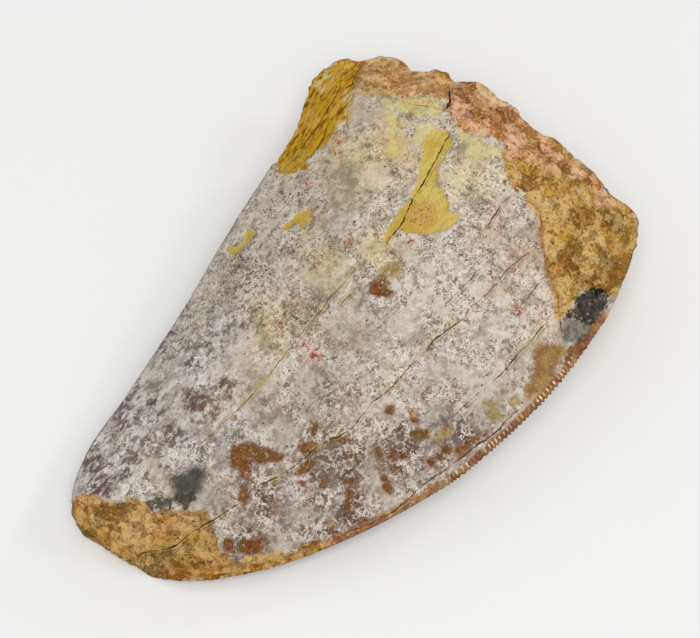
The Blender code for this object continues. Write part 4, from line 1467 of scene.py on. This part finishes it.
def serrated_edge(graph, surface, clouds):
    """Glossy amber beads along the serrations, with painted highlights on the beads and painted shade
    between them, plain amber where they are worn away.
    """
    tone, roughness, height, bare, tip = surface
    small = clouds["small"]
    near = graph.add(graph.attribute("edge_near"), graph.times(clouds["ragged"], 0.5))
    edge = graph.times(graph.band(near, 0.75, 0.45), graph.attribute("edge_band"))
    edge = graph.without(edge, tip)
    bead = graph.band(graph.attribute("bead"), 0.25, 0.7)
    # painted highlights on the tops of the beads
    painted_bead_highlight = graph.band(graph.attribute("bead"), 0.55, 0.95)
    painted_bead_highlight = graph.times(painted_bead_highlight, graph.patches(49, 0.6, 0.4, 0.5))
    beads = graph.paint(
        graph.mix(graph.patches(50, 2.0, 0.44, 0.56), (178, 118, 36), (136, 66, 18)),
        (graph.times(graph.patches(60, 1.6, 0.51, 0.59), 0.85), (208, 178, 136)),
        # painted shade in the hollows between and beside the beads
        (graph.without(0.6, bead), (78, 40, 14)),
        (graph.times(painted_bead_highlight, 0.95), (250, 232, 204)),
        (graph.times(graph.band(small, 0.55, 0.65), 0.5), (84, 44, 20)),
    )
    plain = graph.paint(
        graph.mix(graph.patches(51, 1.5, 0.42, 0.58), (162, 118, 56), (132, 74, 32)),
        (graph.times(graph.patches(52, 0.9, 0.52, 0.6), 0.8), (146, 120, 50)),
        (graph.times(graph.patches(61, 0.5, 0.56, 0.64), 0.7), (212, 176, 130)),
        (graph.times(graph.band(small, 0.52, 0.62), 0.65), (96, 54, 26)),
    )
    tone = graph.mix(graph.times(edge, 0.92), tone, graph.mix(graph.attribute("worn"), beads, plain))
    roughness = graph.blend(edge, roughness, 0.3)
    return tone, roughness, height, graph.without(bare, edge)


def crack_lines(graph, surface, clouds):
    """Dark cracks and the coloured stain beside them."""
    tone, roughness, height, bare = surface
    small, ragged = clouds["small"], clouds["ragged"]
    stained = graph.patches(53, 0.8, 0.46, 0.58)
    olive = graph.times(graph.attribute("olive_stain"), stained)
    red = graph.times(graph.attribute("red_stain"), stained)
    side = graph.add(graph.attribute("crack_side"), graph.times(ragged, 0.07))
    width = graph.times(graph.attribute("crack_width"), graph.add(graph.times(small, 2.8), -0.5))
    line = graph.band(graph.math("SUBTRACT", width, graph.math("ABSOLUTE", side)), -0.02, 0.03)
    line_colour = graph.mix(graph.band(small, 0.4, 0.6), (38, 26, 12), (78, 54, 26))
    tone = graph.paint(
        tone,
        (graph.times(olive, 0.8), (176, 152, 84)),
        (graph.times(red, 0.8), (156, 100, 70)),
        (line, line_colour),
    )
    return tone, roughness, height, bare


# --- Floor, lights and camera -----------------------------------------------------------------


def make_floor():
    """A wide plain floor under the crown."""
    x = y = FLOOR_HALF_WIDTH
    corners = [(-x, -y, 0), (x, -y, 0), (x, y, 0), (-x, y, 0)]
    mesh = bpy.data.meshes.new("floor")
    mesh.from_pydata(corners, [], [(0, 1, 2, 3)])
    material = bpy.data.materials.new("pale_floor")
    graph = Graph(material)
    graph.shader.inputs["Base Color"].default_value = (0.8, 0.8, 0.793, 1)
    graph.shader.inputs["Roughness"].default_value = 0.9
    graph.shader.inputs["Specular IOR Level"].default_value = 0.2
    mesh.materials.append(material)
    floor = bpy.data.objects.new("floor", mesh)
    bpy.context.scene.collection.objects.link(floor)


def make_light(name, azimuth, elevation, power, size):
    """A square lamp in a direction seen from the crown, facing it."""
    turn, rise = math.radians(azimuth), math.radians(elevation)
    way = Vector((math.sin(turn) * math.cos(rise), -math.cos(turn) * math.cos(rise), math.sin(rise)))
    data = bpy.data.lights.new(name, "AREA")
    data.size = size
    data.energy = power
    lamp = bpy.data.objects.new(name, data)
    lamp.location = way * LAMP_DISTANCE
    lamp.rotation_euler = way.to_track_quat("Z", "Y").to_euler()
    bpy.context.scene.collection.objects.link(lamp)


def make_sky():
    """A pale dome that is brighter overhead than near the horizon."""
    world = bpy.data.worlds.new("studio")
    world.use_nodes = True
    nodes, links = world.node_tree.nodes, world.node_tree.links
    background = nodes["Background"]
    background.inputs["Color"].default_value = (1.0, 1.0, 0.995, 1)
    way = nodes.new("ShaderNodeTexCoord")
    split = nodes.new("ShaderNodeSeparateXYZ")
    links.new(way.outputs["Generated"], split.inputs[0])
    rise = nodes.new("ShaderNodeMapRange")
    rise.inputs["To Min"].default_value = SKY_AT_HORIZON
    rise.inputs["To Max"].default_value = SKY_OVERHEAD
    links.new(split.outputs["Z"], rise.inputs["Value"])
    links.new(rise.outputs["Result"], background.inputs["Strength"])
    bpy.context.scene.world = world


def make_camera(shift):
    """The camera, aimed at the middle of the crown wherever that was moved to."""
    right, top, back = camera_axes()
    data = bpy.data.cameras.new("camera")
    data.lens = LENS
    data.sensor_width = SENSOR_WIDTH
    data.clip_start = 0.01
    data.clip_end = 20
    camera = bpy.data.objects.new("camera", data)
    eye = (CAMERA_AIM + back * CAMERA_DISTANCE + shift) * METRES_PER_MM
    turned = np.eye(4)
    turned[:3, :3] = np.column_stack([right, top, back])
    turned[:3, 3] = eye
    camera.matrix_world = Matrix(turned.tolist())
    bpy.context.scene.collection.objects.link(camera)
    bpy.context.scene.camera = camera


crown_shift = make_tooth()
make_camera(crown_shift)
make_floor()
make_sky()
for lamp_values in LAMPS:
    make_light(*lamp_values)
bpy.context.scene.view_settings.view_transform = "Standard"
